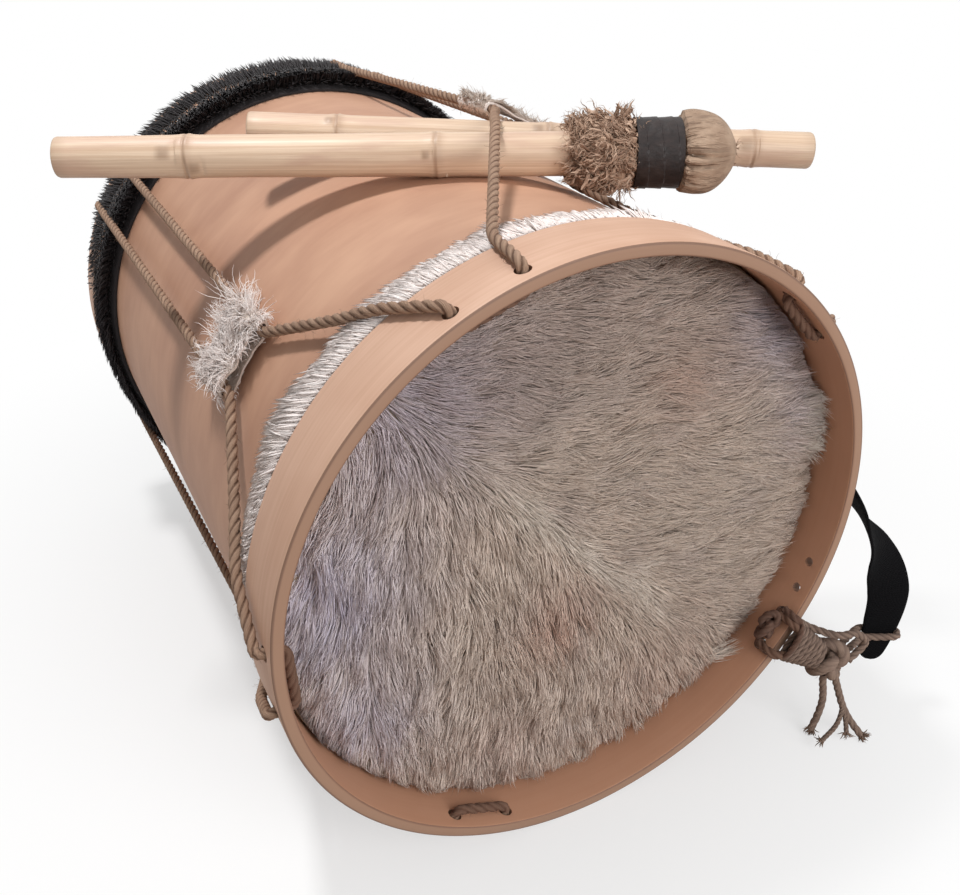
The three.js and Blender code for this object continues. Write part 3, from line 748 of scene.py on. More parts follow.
# Rope: three strands laid round each other, swept along a path
def ropeTree():
    group = bpy.data.node_groups.new("laid_rope", "GeometryNodeTree")
    groupSockets(group, {
        "Geometry": ("NodeSocketGeometry", None),
        "Radius": ("NodeSocketFloat", 0.003),
        "Lay": ("NodeSocketFloat", 0.021),
        "Step": ("NodeSocketFloat", 0.002),
        "Groove": ("NodeSocketFloat", 0.3),
        "Sides": ("NodeSocketInt", 18),
        "Material": ("NodeSocketMaterial", None),
    })
    tree = Tree(group)
    given = tree.node("NodeGroupInput")
    line = tree.node("GeometryNodeMeshToCurve", {}, {"Mesh": given})
    steps = {"Curve": line, "Length": given.out("Step")}
    line = tree.node("GeometryNodeResampleCurve", {"mode": "LENGTH"}, steps)
    along = tree.node("GeometryNodeSplineParameter", {}, {}, "Length")
    line = tree.keep(line, "along", along, "FLOAT")
    tilt = along * (2 * math.pi) / given.out("Lay")
    line = tree.node("GeometryNodeSetCurveTilt", {}, {"Curve": line, "Tilt": tilt})
    circle = {"Resolution": given.out("Sides"), "Radius": 1.0}
    section = tree.node("GeometryNodeCurvePrimitiveCircle", {"mode": "RADIUS"}, circle)
    here = tree.node("GeometryNodeInputPosition")
    turn = here.part("Y").to("ARCTAN2", here.part("X"))
    lobe = (turn * 1.5).to("COSINE").to("ABSOLUTE").to("POWER", 0.8)  # three to a turn, one for each strand
    section = tree.move(section, here * (1.0 - (1.0 - lobe) * given.out("Groove")))
    shape = tree.node("GeometryNodeInputPosition")
    section = tree.keep(section, "section", shape)
    section = tree.move(section, shape * given.out("Radius"))
    swept = {"Curve": line, "Profile Curve": section, "Fill Caps": True}
    tree.close(tree.node("GeometryNodeCurveToMesh", {}, swept), given.out("Material"))
    return group


# painted shade for rope that lies inside the front hoop
ropeShadeInHoop = tint(96, 64, 50)


def ropeFinish(name, light, dark, grooveShade):
    made, tree = material(name)
    section = tree.attribute("section")
    along = tree.attribute("along", "Fac")
    strand = tree.vector(section.part("X"), section.part("Y"), along * 90.0)
    fibres = tree.noise(strand * (7.0, 7.0, 1.0), 1.0, 3.0, 0.65)
    lengths = tree.noise(strand * (0.5, 0.5, 0.16), 1.0, 2.0, 0.5)
    # painted shade in the grooves between the strands
    groove = section.to("LENGTH").between(0.72, 0.93)
    colour = tree.mix(fibres.between(0.3, 0.7) * 0.6 + lengths.between(0.3, 0.7) * 0.4, dark, light)
    colour = tree.mix(groove, grooveShade, colour)
    at, radius = fromAxis(tree)  # painted shade where it lies inside the front hoop
    inner = radius.between((hoopInner + 1) * mm, (hoopInner - 1) * mm) * at.part("Y").between(0.022, 0.016)
    colour = tree.mix(inner * 0.75, colour, ropeShadeInHoop)
    surface(tree, colour, 0.9, fibres, 0.0006)
    return made


laidRope = ropeTree()
# the last tone of each rope is its painted groove shade
juteFinish = ropeFinish("jute_rope", tint(186, 155, 132), tint(146, 116, 96), tint(112, 85, 68))
cordFinish = ropeFinish("tie_cord", tint(164, 140, 124), tint(122, 101, 90), tint(82, 64, 56))

rope = {"radius": 3, "lay": 20, "step": 1.9, "bend": 4, "groove": 0.3, "sides": 18}
gaps = {"fit": 0.3, "over": 0.9, "stitch": 0.4, "edgeLead": 2, "tugLead": 5, "slack": 1.2}
collarOuter = (hideHigh.x - hideLow.x) / 2 / mm
# How far from the axis the rope's middle runs, and where along it the rope meets the rear hoop
outerRide = hoopOuter + rope["radius"] + gaps["fit"]
innerRide = hoopInner - rope["radius"] - gaps["stitch"]
shellRide = shellOuter + rope["radius"] + 2 * gaps["fit"]
fringeRide = collarOuter - drum["hideThickness"] + rope["radius"] + 2 * gaps["fit"]
rearHoleY = rearY - hoopLook["holeInset"]
rearHoopY = rearY - drum["hoopWidth"]
rearEdgeY = rearHoopY - gaps["fit"]
fringeEnd = drum["hoopWidth"] + drum["fringeReach"]
tugLook = {
    "length": 36, "wall": 1.6, "slack": 0.7, "distance": 145, "ride": 5, "sides": 48, "rings": 17,
    "lifted": 1, "liftedDistance": 225, "lifts": [17.2, 22.8],  # the one behind the sticks
}
tugRide = drum["shellRadius"] + rope["radius"] + tugLook["ride"] + drum["hideThickness"] / 2
# The lifted tug's front ropes: one crosses both sticks, the other keeps beside them
liftedLegs = {
    "overMallet": 20, "overPlain": 32, "lean": 1,
    "degrees": (1.5, 3.5, 6.5, 11), "distances": (125.7, 175.7),
}


def rounded(points, bend):  # straight runs with rounded corners
    path = [points[0]]
    for before, here, after in zip(points, points[1:], points[2:]):
        back, on = before - here, after - here
        turn = math.pi - back.angle(on)
        steps = round(turn / 0.3)
        if steps < 1:
            path.append(here)
            continue
        reach = min(bend, 0.45 * back.length, 0.45 * on.length)
        start, end = here + back.normalized() * reach, here + on.normalized() * reach
        for k in range(steps + 1):
            t = k / steps
            path.append(start * (1 - t) ** 2 + here * (2 * t * (1 - t)) + end * t * t)
    path.append(points[-1])
    return path


def through(points, t):  # a smooth curve through points, t from 0 to 1, and the way that it runs
    spans = len(points) - 1
    index = min(int(t * spans), spans - 1)
    weight = t * spans - index
    second, third = points[index], points[index + 1]
    first = points[index - 1] if index > 0 else second * 2 - third
    fourth = points[index + 2] if index + 2 <= spans else third * 2 - second
    pairs = ((first, second), (second, third), (third, fourth))
    before, middle, after = (max((b - a).length ** 0.5, 1e-4) for a, b in pairs)
    leave = ((second - first) / before - (third - first) / (before + middle)
             + (third - second) / middle) * middle
    arrive = ((third - second) / middle - (fourth - second) / (middle + after)
              + (fourth - third) / after) * middle
    bend, twist = -3 * second + 3 * third - 2 * leave - arrive, 2 * second - 2 * third + leave + arrive
    at = second + leave * weight + bend * weight ** 2 + twist * weight ** 3
    return at, (leave + bend * 2 * weight + twist * 3 * weight ** 2).normalized()


def pathMesh(name, points):
    mesh = bpy.data.meshes.new(name)
    mesh.from_pydata([place(p) for p in points], [(i, i + 1) for i in range(len(points) - 1)], [])
    return mesh


def makeRope(name, points, finish, look):
    values = {
        "Radius": look["radius"] * mm, "Lay": look["lay"] * mm, "Step": look["step"] * mm,
        "Groove": look["groove"], "Sides": look["sides"], "Material": finish,
    }
    return grow(pathMesh(name, points), name, laidRope, values, ("along", "section"))


tugs = []
for i, angle in enumerate(lacing["rear"]):
    lifted = i == tugLook["lifted"]
    radii = [shellRide + lift for lift in tugLook["lifts"]] if lifted else [tugRide, tugRide]
    distance = tugLook["liftedDistance"] if lifted else tugLook["distance"]
    tugs.append({"angle": angle, "y": distance, "radii": radii})


def tugPoint(i, side, y):
    tug = tugs[i]
    angle = tug["angle"] + side * lacing["half"]
    start = polar(tug["radii"][(side + 1) // 2], angle, tug["y"] + tugLook["length"] / 2)
    end = polar(outerRide, angle, rearEdgeY)
    return start.lerp(end, (y - start.y) / (end.y - start.y))


def frontLeg(angle, i, side):  # from a hole of the front hoop to a tug
    meetY = tugs[i]["y"] - tugLook["length"] / 2 - gaps["tugLead"]
    meet = tugPoint(i, side, meetY)
    hole = polar(outerRide, angle, hoopLook["holeInset"])
    edgeY = drum["hoopWidth"] + gaps["edgeLead"]
    fringeY = fringeEnd + gaps["edgeLead"]
    if i == tugLook["lifted"] and side > 0:
        overMallet = stickPoint(malletLine, liftedLegs["overMallet"])
        overPlain = stickPoint(plainLine, liftedLegs["overPlain"])
        overMallet.z += mallet["caneRadius"] + rope["radius"] + gaps["over"]
        overPlain.z += plain["radius"] + rope["radius"] + gaps["over"]
        return [hole, polar(outerRide, angle - liftedLegs["lean"], edgeY), overMallet, overPlain, meet]
    if i == tugLook["lifted"]:
        rides = (outerRide, fringeRide, shellRide, shellRide)
        stops = zip(rides, liftedLegs["degrees"], (edgeY, fringeY, *liftedLegs["distances"]))
        return [hole, *(polar(ride, angle + turn, y) for ride, turn, y in stops), meet]
    meetAngle = tugs[i]["angle"] + side * lacing["half"]
    underneath = math.cos(math.radians((angle + meetAngle) / 2 - 270)) > 0.99

    def share(y):
        return (y - hoopLook["holeInset"]) / (meetY - hoopLook["holeInset"])

    edgeAngle = angle if underneath else angle + (meetAngle - angle) * share(edgeY)
    edgeRide = outerRide / math.cos(math.radians((edgeAngle - angle) / 2))
    fringeAngle = angle + (meetAngle - angle) * share(fringeY) * (0.32 if underneath else 1)
    overFringe = polar(fringeRide, fringeAngle, fringeY)
    middle = overFringe.lerp(meet, 0.5)
    lift = max(1, shellRide / math.hypot(middle.x, middle.z))
    middle.x *= lift
    middle.z *= lift
    hole = polar(edgeRide, angle, hoopLook["holeInset"])
    return [hole, polar(edgeRide, edgeAngle, edgeY), overFringe, middle, meet]


def rearLeg(i, side):
    angle = tugs[i]["angle"] + side * lacing["half"]
    return [polar(outerRide, angle, rearEdgeY), polar(outerRide, angle, rearHoleY)]


def stitch(start, end, y):
    return [polar(innerRide, start, y), polar(innerRide, end, y)]


tie = {  # size is the CAD knot's: half of what it takes up outwards, along the drum and round it
    "reach": 25, "angle": -34.5, "standOff": 14, "lead": 5, "size": (11, 10, 13),
    "frontSize": (13, 11.5, 15.5), "rearSize": (12, 10.5, 14), "innerSize": (6.4, 6, 12),
}
frontKnot = polar(drum["hoopRadius"] + tie["reach"], tie["angle"], -tie["standOff"])
rearKnot = polar(drum["hoopRadius"] + tie["reach"], tie["angle"], rearY + tie["standOff"])
knotOut = polar(1, tie["angle"], 0)
knotSide = polar(1, tie["angle"] + 90, 0)


def overRim(side, knot, rimY, outside, radius):
    angle = lacing["front"][0] + side * lacing["tieHalf"]
    near = knot - knotOut * (tie["size"][0] + gaps["fit"]) + knotSide * side * (radius + gaps["fit"])
    hole = polar(innerRide, angle, rimY - outside * hoopLook["holeInset"])
    rim = polar(innerRide, angle, rimY + outside * (radius + 0.7))
    return [hole, rim, near - knotOut * tie["lead"], near]


def lacingRoute():
    route = overRim(1, frontKnot, 0, -1, rope["radius"])[::-1]
    for i, tug in enumerate(tugs):
        after = (i + 1) % len(tugs)
        start = lacing["front"][i] + (lacing["tieHalf"] if i == 0 else lacing["half"])
        half = lacing["half"] if after else lacing["tieHalf"]
        end = lacing["front"][after] - half + (0 if after else 360)
        route += frontLeg(start, i, -1) + rearLeg(i, -1)
        route += stitch(tug["angle"] - lacing["half"], tug["angle"] + lacing["half"], rearHoleY)
        route += rearLeg(i, 1)[::-1] + frontLeg(end, i, 1)[::-1]
        if after != 0:
            route += stitch(end, end + 2 * lacing["half"], hoopLook["holeInset"])
    return route + overRim(-1, frontKnot, 0, -1, rope["radius"])


lacingPath = rounded(lacingRoute(), rope["bend"])
settle(makeRope("lacing", lacingPath, juteFinish, rope), "drum", "jute_rope", "lacing_rope")
print("lacing made")


# Knots, the rear tie, the loops that hold the strap, and the loose ends
cord = {"radius": 2.5, "lay": 16, "step": 1.4, "groove": 0.3, "sides": 15}
knotCord = {"radius": 3.4, "lay": 20, "step": 1.2, "groove": 0.14, "sides": 18}


def makeKnot(name, node, centre, size, look):
    third = knotOut.cross(Vector((0, 1, 0)))
    points = []
    for k in range(97):
        t = 2 * math.pi * k / 96
        ring, dip = 1 + 0.62 * math.cos(3 * t), 0.62 * math.sin(3 * t)
        flat = ((size[0] - look["radius"]) / 1.62, (size[2] - look["radius"]) / 1.62)
        depth = (size[1] - look["radius"]) / 0.62
        out, over = knotOut * ring * math.cos(2 * t) * flat[0], third * ring * math.sin(2 * t) * flat[1]
        points.append(centre + out + over + Vector((0, 1, 0)) * dip * depth)
    settle(makeRope(name, points, cordFinish, look), "drum", "jute_rope", node)


# Cord wound round the two strands between the rim and the knot
binding = {"turns": 7, "wide": (12, 7.5), "thin": (4, 5.4), "from": (169, 6.4), "upTo": 9, "radius": 2.1}


def makeBinding(name, node, knot, rimY, outside):
    start = polar(binding["from"][0], tie["angle"], rimY + outside * binding["from"][1])
    end = knot - knotOut * binding["upTo"]
    along = end - start
    over = along.cross(knotSide).normalized()
    points = []
    steps = 20 * binding["turns"]
    for k in range(steps + 1):
        share, turn = k / steps, 2 * math.pi * binding["turns"] * k / steps
        wide = binding["wide"][0] + (binding["wide"][1] - binding["wide"][0]) * share
        thin = binding["thin"][0] + (binding["thin"][1] - binding["thin"][0]) * share
        aside, lift = knotSide * (math.cos(turn) * wide), over * (math.sin(turn) * thin)
        points.append(start + along * share + aside + lift)
    look = {**cord, "radius": binding["radius"]}
    settle(makeRope(name, points, cordFinish, look), "drum", "jute_rope", node)


makeKnot("front_knot", "front_tie_knot", frontKnot, tie["frontSize"], {**knotCord, "radius": 4.2})
makeKnot("rear_knot", "rear_tie_knot", rearKnot, tie["rearSize"], knotCord)
innerKnot = polar(hoopInner - 6.6, tie["angle"], 9)
makeKnot("front_inner_knot", "front_tie_knot", innerKnot, tie["innerSize"], {**cord, "radius": 2.6})
makeBinding("front_binding", "front_tie_knot", frontKnot, 0, -1)
makeBinding("rear_binding", "rear_tie_knot", rearKnot, rearY, 1)
bight = [polar(innerRide, -29.6, 7), polar(innerRide + 1, -29.8, -3.6)]
bight += [polar(drum["hoopRadius"] + 2, -30.4, -5.5)]
bight += [frontKnot + Vector(offset)
          for offset in ((0, -5, 22), (13, -7, 20), (21, -8.5, 11), (9, -8.5, 1))]
bightPath = [through(bight, k / 50)[0] for k in range(51)]
settle(makeRope("front_bight", bightPath, cordFinish, cord), "drum", "jute_rope", "front_tie_knot")
rearTie = overRim(1, rearKnot, rearY, 1, cord["radius"])[::-1]
rearTie += [polar(outerRide, lacing["front"][0] + side * lacing["tieHalf"], rearHoleY) for side in (1, -1)]
rearTie += overRim(-1, rearKnot, rearY, 1, cord["radius"])
settle(makeRope("rear_tie", rounded(rearTie, 4), cordFinish, cord), "drum", "jute_rope", "rear_tie_cord")

strapEnd = [  # from its knot: place, the way its width points, half its width
    ((38.7, 3.5, -17.7), (0.89, -0.456, 0), 8),
    ((46.7, 4.6, -7.7), (0.89, -0.456, 0), 9.5),
    ((50.7, 5.8, 6.3), (0.89, -0.456, 0), 11.5),
    ((54.2, 8.7, 26.3), (0.88, -0.47, 0.05), 13),
]
strapSide = [  # rise above the hoops, angle, share of the drum's length, the way its width points
    (41.8, -15.1, 0, (0.85, 0.1, -0.3)),
    (25.3, -10, 0.011, (0.65, 0.55, -0.4)),
    (14.9, -5.4, 0.025, (0.39, 0.77, -0.5)),
    (11.1, -2.2, 0.054, (0.4, 0.5, -0.75)),
    (11.5, -1.2, 0.103, (0.35, 0, -0.94)),
    (15.7, -4.8, 0.186, (0.3, 0, -0.95)),
    (26.4, -15.6, 0.309, (0.3, 0, -0.95)),
    (39.8, -24.8, 0.454, (0.25, 0, -0.97)),
    (47.1, -29.7, 0.619, (0.25, 0, -0.97)),
    (48, -29.6, 0.784, (0.3, 0, -0.95)),
    (50.9, -25.4, 0.907, (0.5, 0.1, -0.8)),
]
strapLook = {
    "thickness": 2.2, "halfWidth": 13, "steps": 9, "rib": 1.5, "yarn": 0.9,
    "dark": tint(3, 3, 4), "light": tint(9, 8, 11), "lint": tint(32, 29, 32),
}
loopLook = {"along": (-11, 12.5), "shift": (1.6, 0.5, 6), "stand": 1.4, "bend": 5}


def strapStations():
    front = [(frontKnot + Vector(at), Vector(across), half) for at, across, half in strapEnd]
    rear = []
    for (x, y, z), (a, b, c), half in strapEnd:
        rear.append((rearKnot + Vector((x, -y, z)), Vector((a, -b, c)), half))
    side = [(polar(drum["hoopRadius"] + rise, angle, share * rearY), Vector(across), strapLook["halfWidth"])
            for rise, angle, share, across in strapSide]
    return front + side + rear[::-1]


def webbing():
    made, tree = material("strap_webbing")
    follow = tree.follow()
    ribs = (follow.part("Y") * (2 * math.pi / strapLook["rib"])).to("SINE")
    yarns = (follow.part("X") * (2 * math.pi / strapLook["yarn"]) + ribs * 0.8).to("SINE")
    lint = tree.noise(tree.coordinates(), 120.0, 3.0, 0.6)
    weave = ribs * 0.5 + yarns * 0.5
    colour = tree.mix(weave.between(-0.8, 0.8), strapLook["dark"], strapLook["light"])
    colour = tree.mix(lint.between(0.6, 0.8) * 0.15, colour, strapLook["lint"])
    surface(tree, colour, 0.9, weave, 0.0003, {"Specular IOR Level": 0.12})
    return made


def makeStrap():
    stations = strapStations()
    spans = len(stations) - 1
    count = strapLook["steps"] * spans
    centres = [at for at, _, _ in stations]
    widths = [across for _, across, _ in stations]
    upper = [(1, -0.5), (1, 0), (1, 0.5), (0.96, 0.85), (0.85, 1), (0.5, 1), (0, 1), (-0.5, 1), (-0.85, 1)]
    upper += [(-0.96, 0.85)]
    outline = upper + [(-a, -b) for a, b in upper]
    points, travelled, last = [], [0.0], None
    for k in range(count + 1):
        t = k / count
        station = min(int(t * spans + 1e-9), spans - 1)
        halfBefore, halfAfter = stations[station][2], stations[station + 1][2]
        half = halfBefore + (halfAfter - halfBefore) * (t * spans - station)
        at, run = through(centres, t)
        across, _ = through(widths, t)
        across = (across - run * across.dot(run)).normalized()
        depth = run.cross(across) * strapLook["thickness"] / 2
        if last is not None:
            travelled.append(travelled[-1] + (at - last).length)
        last = at
        points.append([at, across, depth, half, travelled[-1]])
    whole = travelled[-1]
    rings, faces, uvs = [], [], []
    for at, across, depth, half, tail in points:
        fromEnd = min(tail, whole - tail)
        narrow = math.sqrt(max(0.02, 1 - max(0, 1 - fromEnd / half) ** 2)) if fromEnd < half else 1
        rings.append([at + across * half * narrow * a + depth * b for a, b in outline])
    size = len(outline)
    for i in range(len(rings) - 1):
        for j in range(size):
            k = (j + 1) % size
            faces.append((i * size + j, i * size + k, (i + 1) * size + k, (i + 1) * size + j))
            here, after = outline[j][0] * points[i][3], outline[k][0] * points[i][3]
            low, high = travelled[i], travelled[i + 1]
            uvs.append([(here, low), (after, low), (after, high), (here, high)])
    for first in (0, (len(rings) - 1) * size):
        faces.append(tuple(range(first, first + size)))
        uvs.append([(outline[j][0], 0) for j in range(size)])
    piece = meshPiece("shoulder_webbing", [p for ring in rings for p in ring], faces, webbing(), 60, uvs)
    settle(outwards(piece), "shoulder_strap", "strap_webbing", "strap")


def tieLoop(name, node, knotCentre, outside):  # from the knot, round the strap's end and back
    at, across, _ = strapEnd[1]
    shift, (low, high) = loopLook["shift"], loopLook["along"]
    held = knotCentre + Vector((at[0] + shift[0], -outside * (at[1] + shift[1]), at[2] + shift[2]))
    width = Vector((across[0], -outside * across[1], across[2]))
    normal = Vector((-width.y * outside, width.x * outside, 0))
    reach = strapLook["thickness"] / 2 + cord["radius"] + gaps["slack"]
    near = Vector((1, 0, 0.25)).normalized()
    leave = knotCentre + near * (tie["size"][0] + gaps["fit"] + loopLook["stand"])
    starts = [leave + Vector((0, side * outside * (cord["radius"] + gaps["fit"]), 0)) for side in (1, -1)]
    corners = []
    for side, out in ((1, low), (1, high), (-1, high), (-1, low)):
        corners.append(held + normal * side * reach + width * out)
    piece = makeRope(name, rounded([starts[0], *corners, starts[1]], loopLook["bend"]), cordFinish, cord)
    settle(piece, "shoulder_strap", "jute_rope", node)


makeStrap()
tieLoop("front_loop", "front_tie_loop", frontKnot, -1)
tieLoop("rear_loop", "rear_tie_loop", rearKnot, 1)

tails = {  # from the front knot's centre
    "left_tail": [(0.5, 0, -12.8), (1.1, -0.1, -19.7), (2.8, -0.4, -27.7), (3.5, -1, -35.7),
                  (2.4, -1.4, -43.7), (0.2, -1.8, -50.7), (-3.3, -2.4, -57.2)],
    "right_tail": [(6.6, -0.9, -10.3), (9.7, -1.5, -18.7), (12.6, -2.4, -26.7), (14.6, -4.6, -34.7),
                   (16.2, -7.8, -42.2), (18.2, -12, -48.7), (20.7, -17, -54.3), (22.8, -21.5, -58.3)],
}
tailCord = {"radius": 2.5, "lay": 15, "step": 1.2, "groove": 0.24, "sides": 15}
splits = {  # strands that leave a tail before its end
    "left_tail": [],
    "right_tail": [[(14.6, -4.6, -34.7), (15.4, -7.5, -40.5), (8, -12.5, -48.5), (-7, -15.5, -54.5)],
                   [(14.6, -4.6, -34.7), (15.4, -7.6, -41.5), (15.6, -12.5, -50), (13.5, -17, -56.5)]],
}
splitCord = {"radius": 1.7, "lay": 9, "step": 0.9, "groove": 0.2, "sides": 12}
tailPaths, tailParts = {}, {}
for tailName, offsets in tails.items():
    paths = []
    for stops in (offsets, *splits[tailName]):
        stops = [frontKnot + Vector(offset) for offset in stops]
        paths.append([through(stops, k / 60)[0] for k in range(61)])
    tailPaths[tailName] = paths
    made = [makeRope("loose_" + tailName, paths[0], cordFinish, tailCord)]
    for i, path in enumerate(paths[1:], 1):
        made.append(makeRope(f"{tailName}_split_{i}", path, cordFinish, splitCord))
    tailParts[tailName] = [settle(part, "drum", "jute_rope", tailName) for part in made]
print("ties and strap made")


# Hair: strands scattered on a surface, bent along its flow and drawn together in tufts
def hairTree():
    group = bpy.data.node_groups.new("hair", "GeometryNodeTree")
    number = "NodeSocketFloat"
    groupSockets(group, {
        "Geometry": ("NodeSocketGeometry", None),
        "Strand": ("NodeSocketObject", None),
        "Density": (number, 100000.0),
        "Length": (number, 0.02),
        "Width": (number, 0.0004),
        "Lift": (number, 0.006),
        "Droop": (number, 0.3),
        "Spread": (number, 0.2),
        "Stray": (number, 0.2),
        "Vary": (number, 0.5),
        "Tuft": (number, 0.5),
        "Tuft size": (number, 0.006),
        "Curl": (number, 0.001),
        "Turns": (number, 0.8),
        "Inside": (number, 0.0),
        "Outside": (number, 1000.0),
        "Floor": (number, 0.0005),
        "Axis": ("NodeSocketVector", (0.0, 0.0, 0.0)),
        "Seed": ("NodeSocketInt", 0),
        "Material": ("NodeSocketMaterial", None),
    })
    tree = Tree(group)
    given = tree.node("NodeGroupInput")
    density = given.out("Density") * tree.stored("thick", "FLOAT")
    values = {"Mesh": given, "Density": density, "Seed": given.out("Seed")}
    points = tree.node("GeometryNodeDistributePointsOnFaces", {"distribute_method": "RANDOM"}, values)

    def chanceOf(seed):
        span = {0: 0.0, 1: 1.0, "Seed": seed}
        return tree.node("FunctionNodeRandomValue", {"data_type": "FLOAT_VECTOR"}, span)

    made = tree.keep(points, "root", tree.node("GeometryNodeInputPosition"))
    made = tree.keep(made, "up", points.out("Normal"))
    made = tree.keep(made, "chance", chanceOf(given.out("Seed") + 7))
    made = tree.keep(made, "luck", chanceOf(given.out("Seed") + 11))
    strands = tree.node("GeometryNodeObjectInfo", {}, {"Object": given.out("Strand")}, "Geometry")
    made = tree.node("GeometryNodeInstanceOnPoints", {}, {"Points": made, "Instance": strands})
    made = tree.node("GeometryNodeRealizeInstances", {}, {"Geometry": made})

    root, up, chance, luck = (tree.stored(name) for name in ("root", "up", "chance", "luck"))
    strand, long = tree.stored("strand"), tree.stored("long", "FLOAT")
    t = strand.part("Z")
    cell = tree.node("ShaderNodeTexVoronoi", {}, {"Vector": root, "Scale": 1.0 / given.out("Tuft size")})
    direction = tree.stored("flow") + (chance - (0.5, 0.5, 0.5)) * (given.out("Spread") * 2)
    direction = direction + (cell.out("Color") - (0.5, 0.5, 0.5)) * (given.out("Stray") * 2)
    direction = direction.to("NORMALIZE")
    side = direction.to("CROSS_PRODUCT", up).to("NORMALIZE")
    length = given.out("Length") * long * (1 - given.out("Vary") * luck.part("X"))
    rise = given.out("Lift") * (0.3 + 0.7 * luck.part("Y")) * long
    rise = rise * (t * (2 - t) - given.out("Droop") * t * t * t)
    width = given.out("Width") * (0.6 + 0.8 * luck.part("Z")) * (1 - 0.85 * t * t)
    turn = (given.out("Turns") * t + chance.part("X")) * (2 * math.pi)
    curl = given.out("Curl") * t * (0.4 + 0.6 * chance.part("Y"))
    centre = root + direction * (length * t) + (cell.out("Position") - root) * (given.out("Tuft") * t * t)
    centre = centre + side * (curl * turn.to("COSINE")) + up * (rise + curl * turn.to("SINE") * 0.6 + width)
    spot = centre + side * (width * strand.part("X")) + up * (width * strand.part("Y"))

    # Pushed out of what lies inside it, in from what lies outside it, and up off the floor
    off = spot - given.out("Axis")
    flat = off * (1.0, 0.0, 1.0)
    reach = flat.to("LENGTH")
    kept = reach.to("MAXIMUM", given.out("Inside")).to("MINIMUM", given.out("Outside"))
    flat = flat * (kept / reach)
    spot = given.out("Axis") + flat + off * (0.0, 1.0, 0.0)
    spot = tree.vector(spot.part("X"), spot.part("Y"), spot.part("Z").to("MAXIMUM", given.out("Floor")))
    tree.close(tree.move(made, spot), given.out("Material"))
    return group


# A closed strand that tapers; each point keeps its place across the strand and along it
def strandShape(segments, outline):
    mesh = bpy.data.meshes.new("strand")
    sides = len(outline)
    spots = [(x, y, i / segments) for i in range(segments) for x, y in outline] + [(0.0, 0.0, 1.0)]
    faces = [tuple(range(sides))[::-1]]
    for i in range(segments - 1):
        for j in range(sides):
            k = (j + 1) % sides
            faces.append((sides * i + j, sides * i + k, sides * (i + 1) + k, sides * (i + 1) + j))
    last = sides * (segments - 1)
    faces += [(last + j, last + (j + 1) % sides, len(spots) - 1) for j in range(sides)]
    mesh.from_pydata([Vector(s) * mm for s in spots], [], faces)
    marks = mesh.attributes.new("strand", "FLOAT_VECTOR", "POINT")
    for mark, spot in zip(marks.data, spots):
        mark.vector = spot
    return bpy.data.objects.new("strand", mesh)


hairGroup = hairTree()
threeSides = [(math.cos(2 * math.pi * j / 3), math.sin(2 * math.pi * j / 3)) for j in range(3)]
strandOf = {
    "short": strandShape(2, threeSides),
    "fine": strandShape(3, threeSides),
    "bent": strandShape(5, threeSides),
    "curled": strandShape(8, threeSides),
    "ribbon": strandShape(7, [(1, -0.1), (1, 0.1), (-1, 0.1), (-1, -0.1)]),
}


def hairBase(name, points, faces, combed):  # combed gives each point its flow, length, thickness and shade
    mesh = bpy.data.meshes.new(name)
    mesh.from_pydata([place(p) for p in points], [], faces)
    kinds = {"flow": "FLOAT_VECTOR", "long": "FLOAT", "thick": "FLOAT", "shade": "FLOAT_VECTOR"}
    combs = [combed(Vector(point)) for point in points]
    for i, (label, kind) in enumerate(kinds.items()):
        layer = mesh.attributes.new(label, kind, "POINT")
        for mark, comb in zip(layer.data, combs):
            setattr(mark, "value" if kind == "FLOAT" else "vector", comb[i])
    return mesh


def ringSheet(rows, sides, flip):  # rows of (radius, y) turned about the drum's axis, open at both ends
    points = [polar(radius, 360 * i / sides, y) for radius, y in rows for i in range(sides)]
    faces = []
    for r in range(len(rows) - 1):
        for i in range(sides):
            after = (i + 1) % sides
            face = (r * sides + i, r * sides + after, (r + 1) * sides + after, (r + 1) * sides + i)
            faces.append(face[::-1] if flip else face)
    return points, faces


def growHair(name, base, look, seed, finish):
    values = {
        "Strand": strandOf[look["strand"]], "Density": look["density"] * 1e6, "Floor": 0.6 * mm,
        "Tuft size": look["tuftSize"] * mm, "Inside": look.get("inside", 0) * mm,
        "Outside": look.get("outside", 1e6) * mm, "Axis": tuple(rimCentre), "Seed": seed, "Material": finish,
    }
    for label in ("length", "width", "lift", "curl"):
        values[label.capitalize()] = look[label] * mm
    for label in ("droop", "spread", "stray", "vary", "tuft", "turns"):
        values[label.capitalize()] = look[label]
    piece = grow(base, name, hairGroup, values, ("luck", "strand", "shade"))
    print(name, len(piece.data.polygons), "faces")
    return piece


# The three shades turn hair to first, second and third, and the third one's reverse turns it to pale
def furFinish(name, tones, roughness):
    made, tree = material(name)
    luck, strand, shade = (tree.attribute(label) for label in ("luck", "strand", "shade"))
    t = strand.part("Z")
    own = luck.part("X") * 0.6 + luck.part("Y") * 0.4
    colour = tree.mix(own, tones["dark"], tones["light"])
    for axis, label in zip("XYZ", ("first", "second", "third")):
        colour = tree.mix(shade.part(axis) * (0.6 + 0.5 * luck.part("Z")), colour, tones[label])
    colour = tree.mix(shade.part("Z") * -1.0, colour, tones["pale"])
    # painted shade towards each strand's root, deep in the hair
    colour = tree.mix((1 - t).to("POWER", 2.0) * tones["depth"], colour, tones["root"])
    if "rim" in tones:  # shaded where it goes under the hoop's upper left side
        at, radius = fromAxis(tree)
        under = at.to("NORMALIZE").to("DOT_PRODUCT", (-0.75, 0.0, 0.66)).between(-0.2, 0.7)
        close = radius.between((hoopInner - 9) * mm, (hoopInner - 3) * mm)
        colour = tree.mix(close * under * 0.85, colour, tones["rim"])
    surface(tree, colour, roughness)
    return made
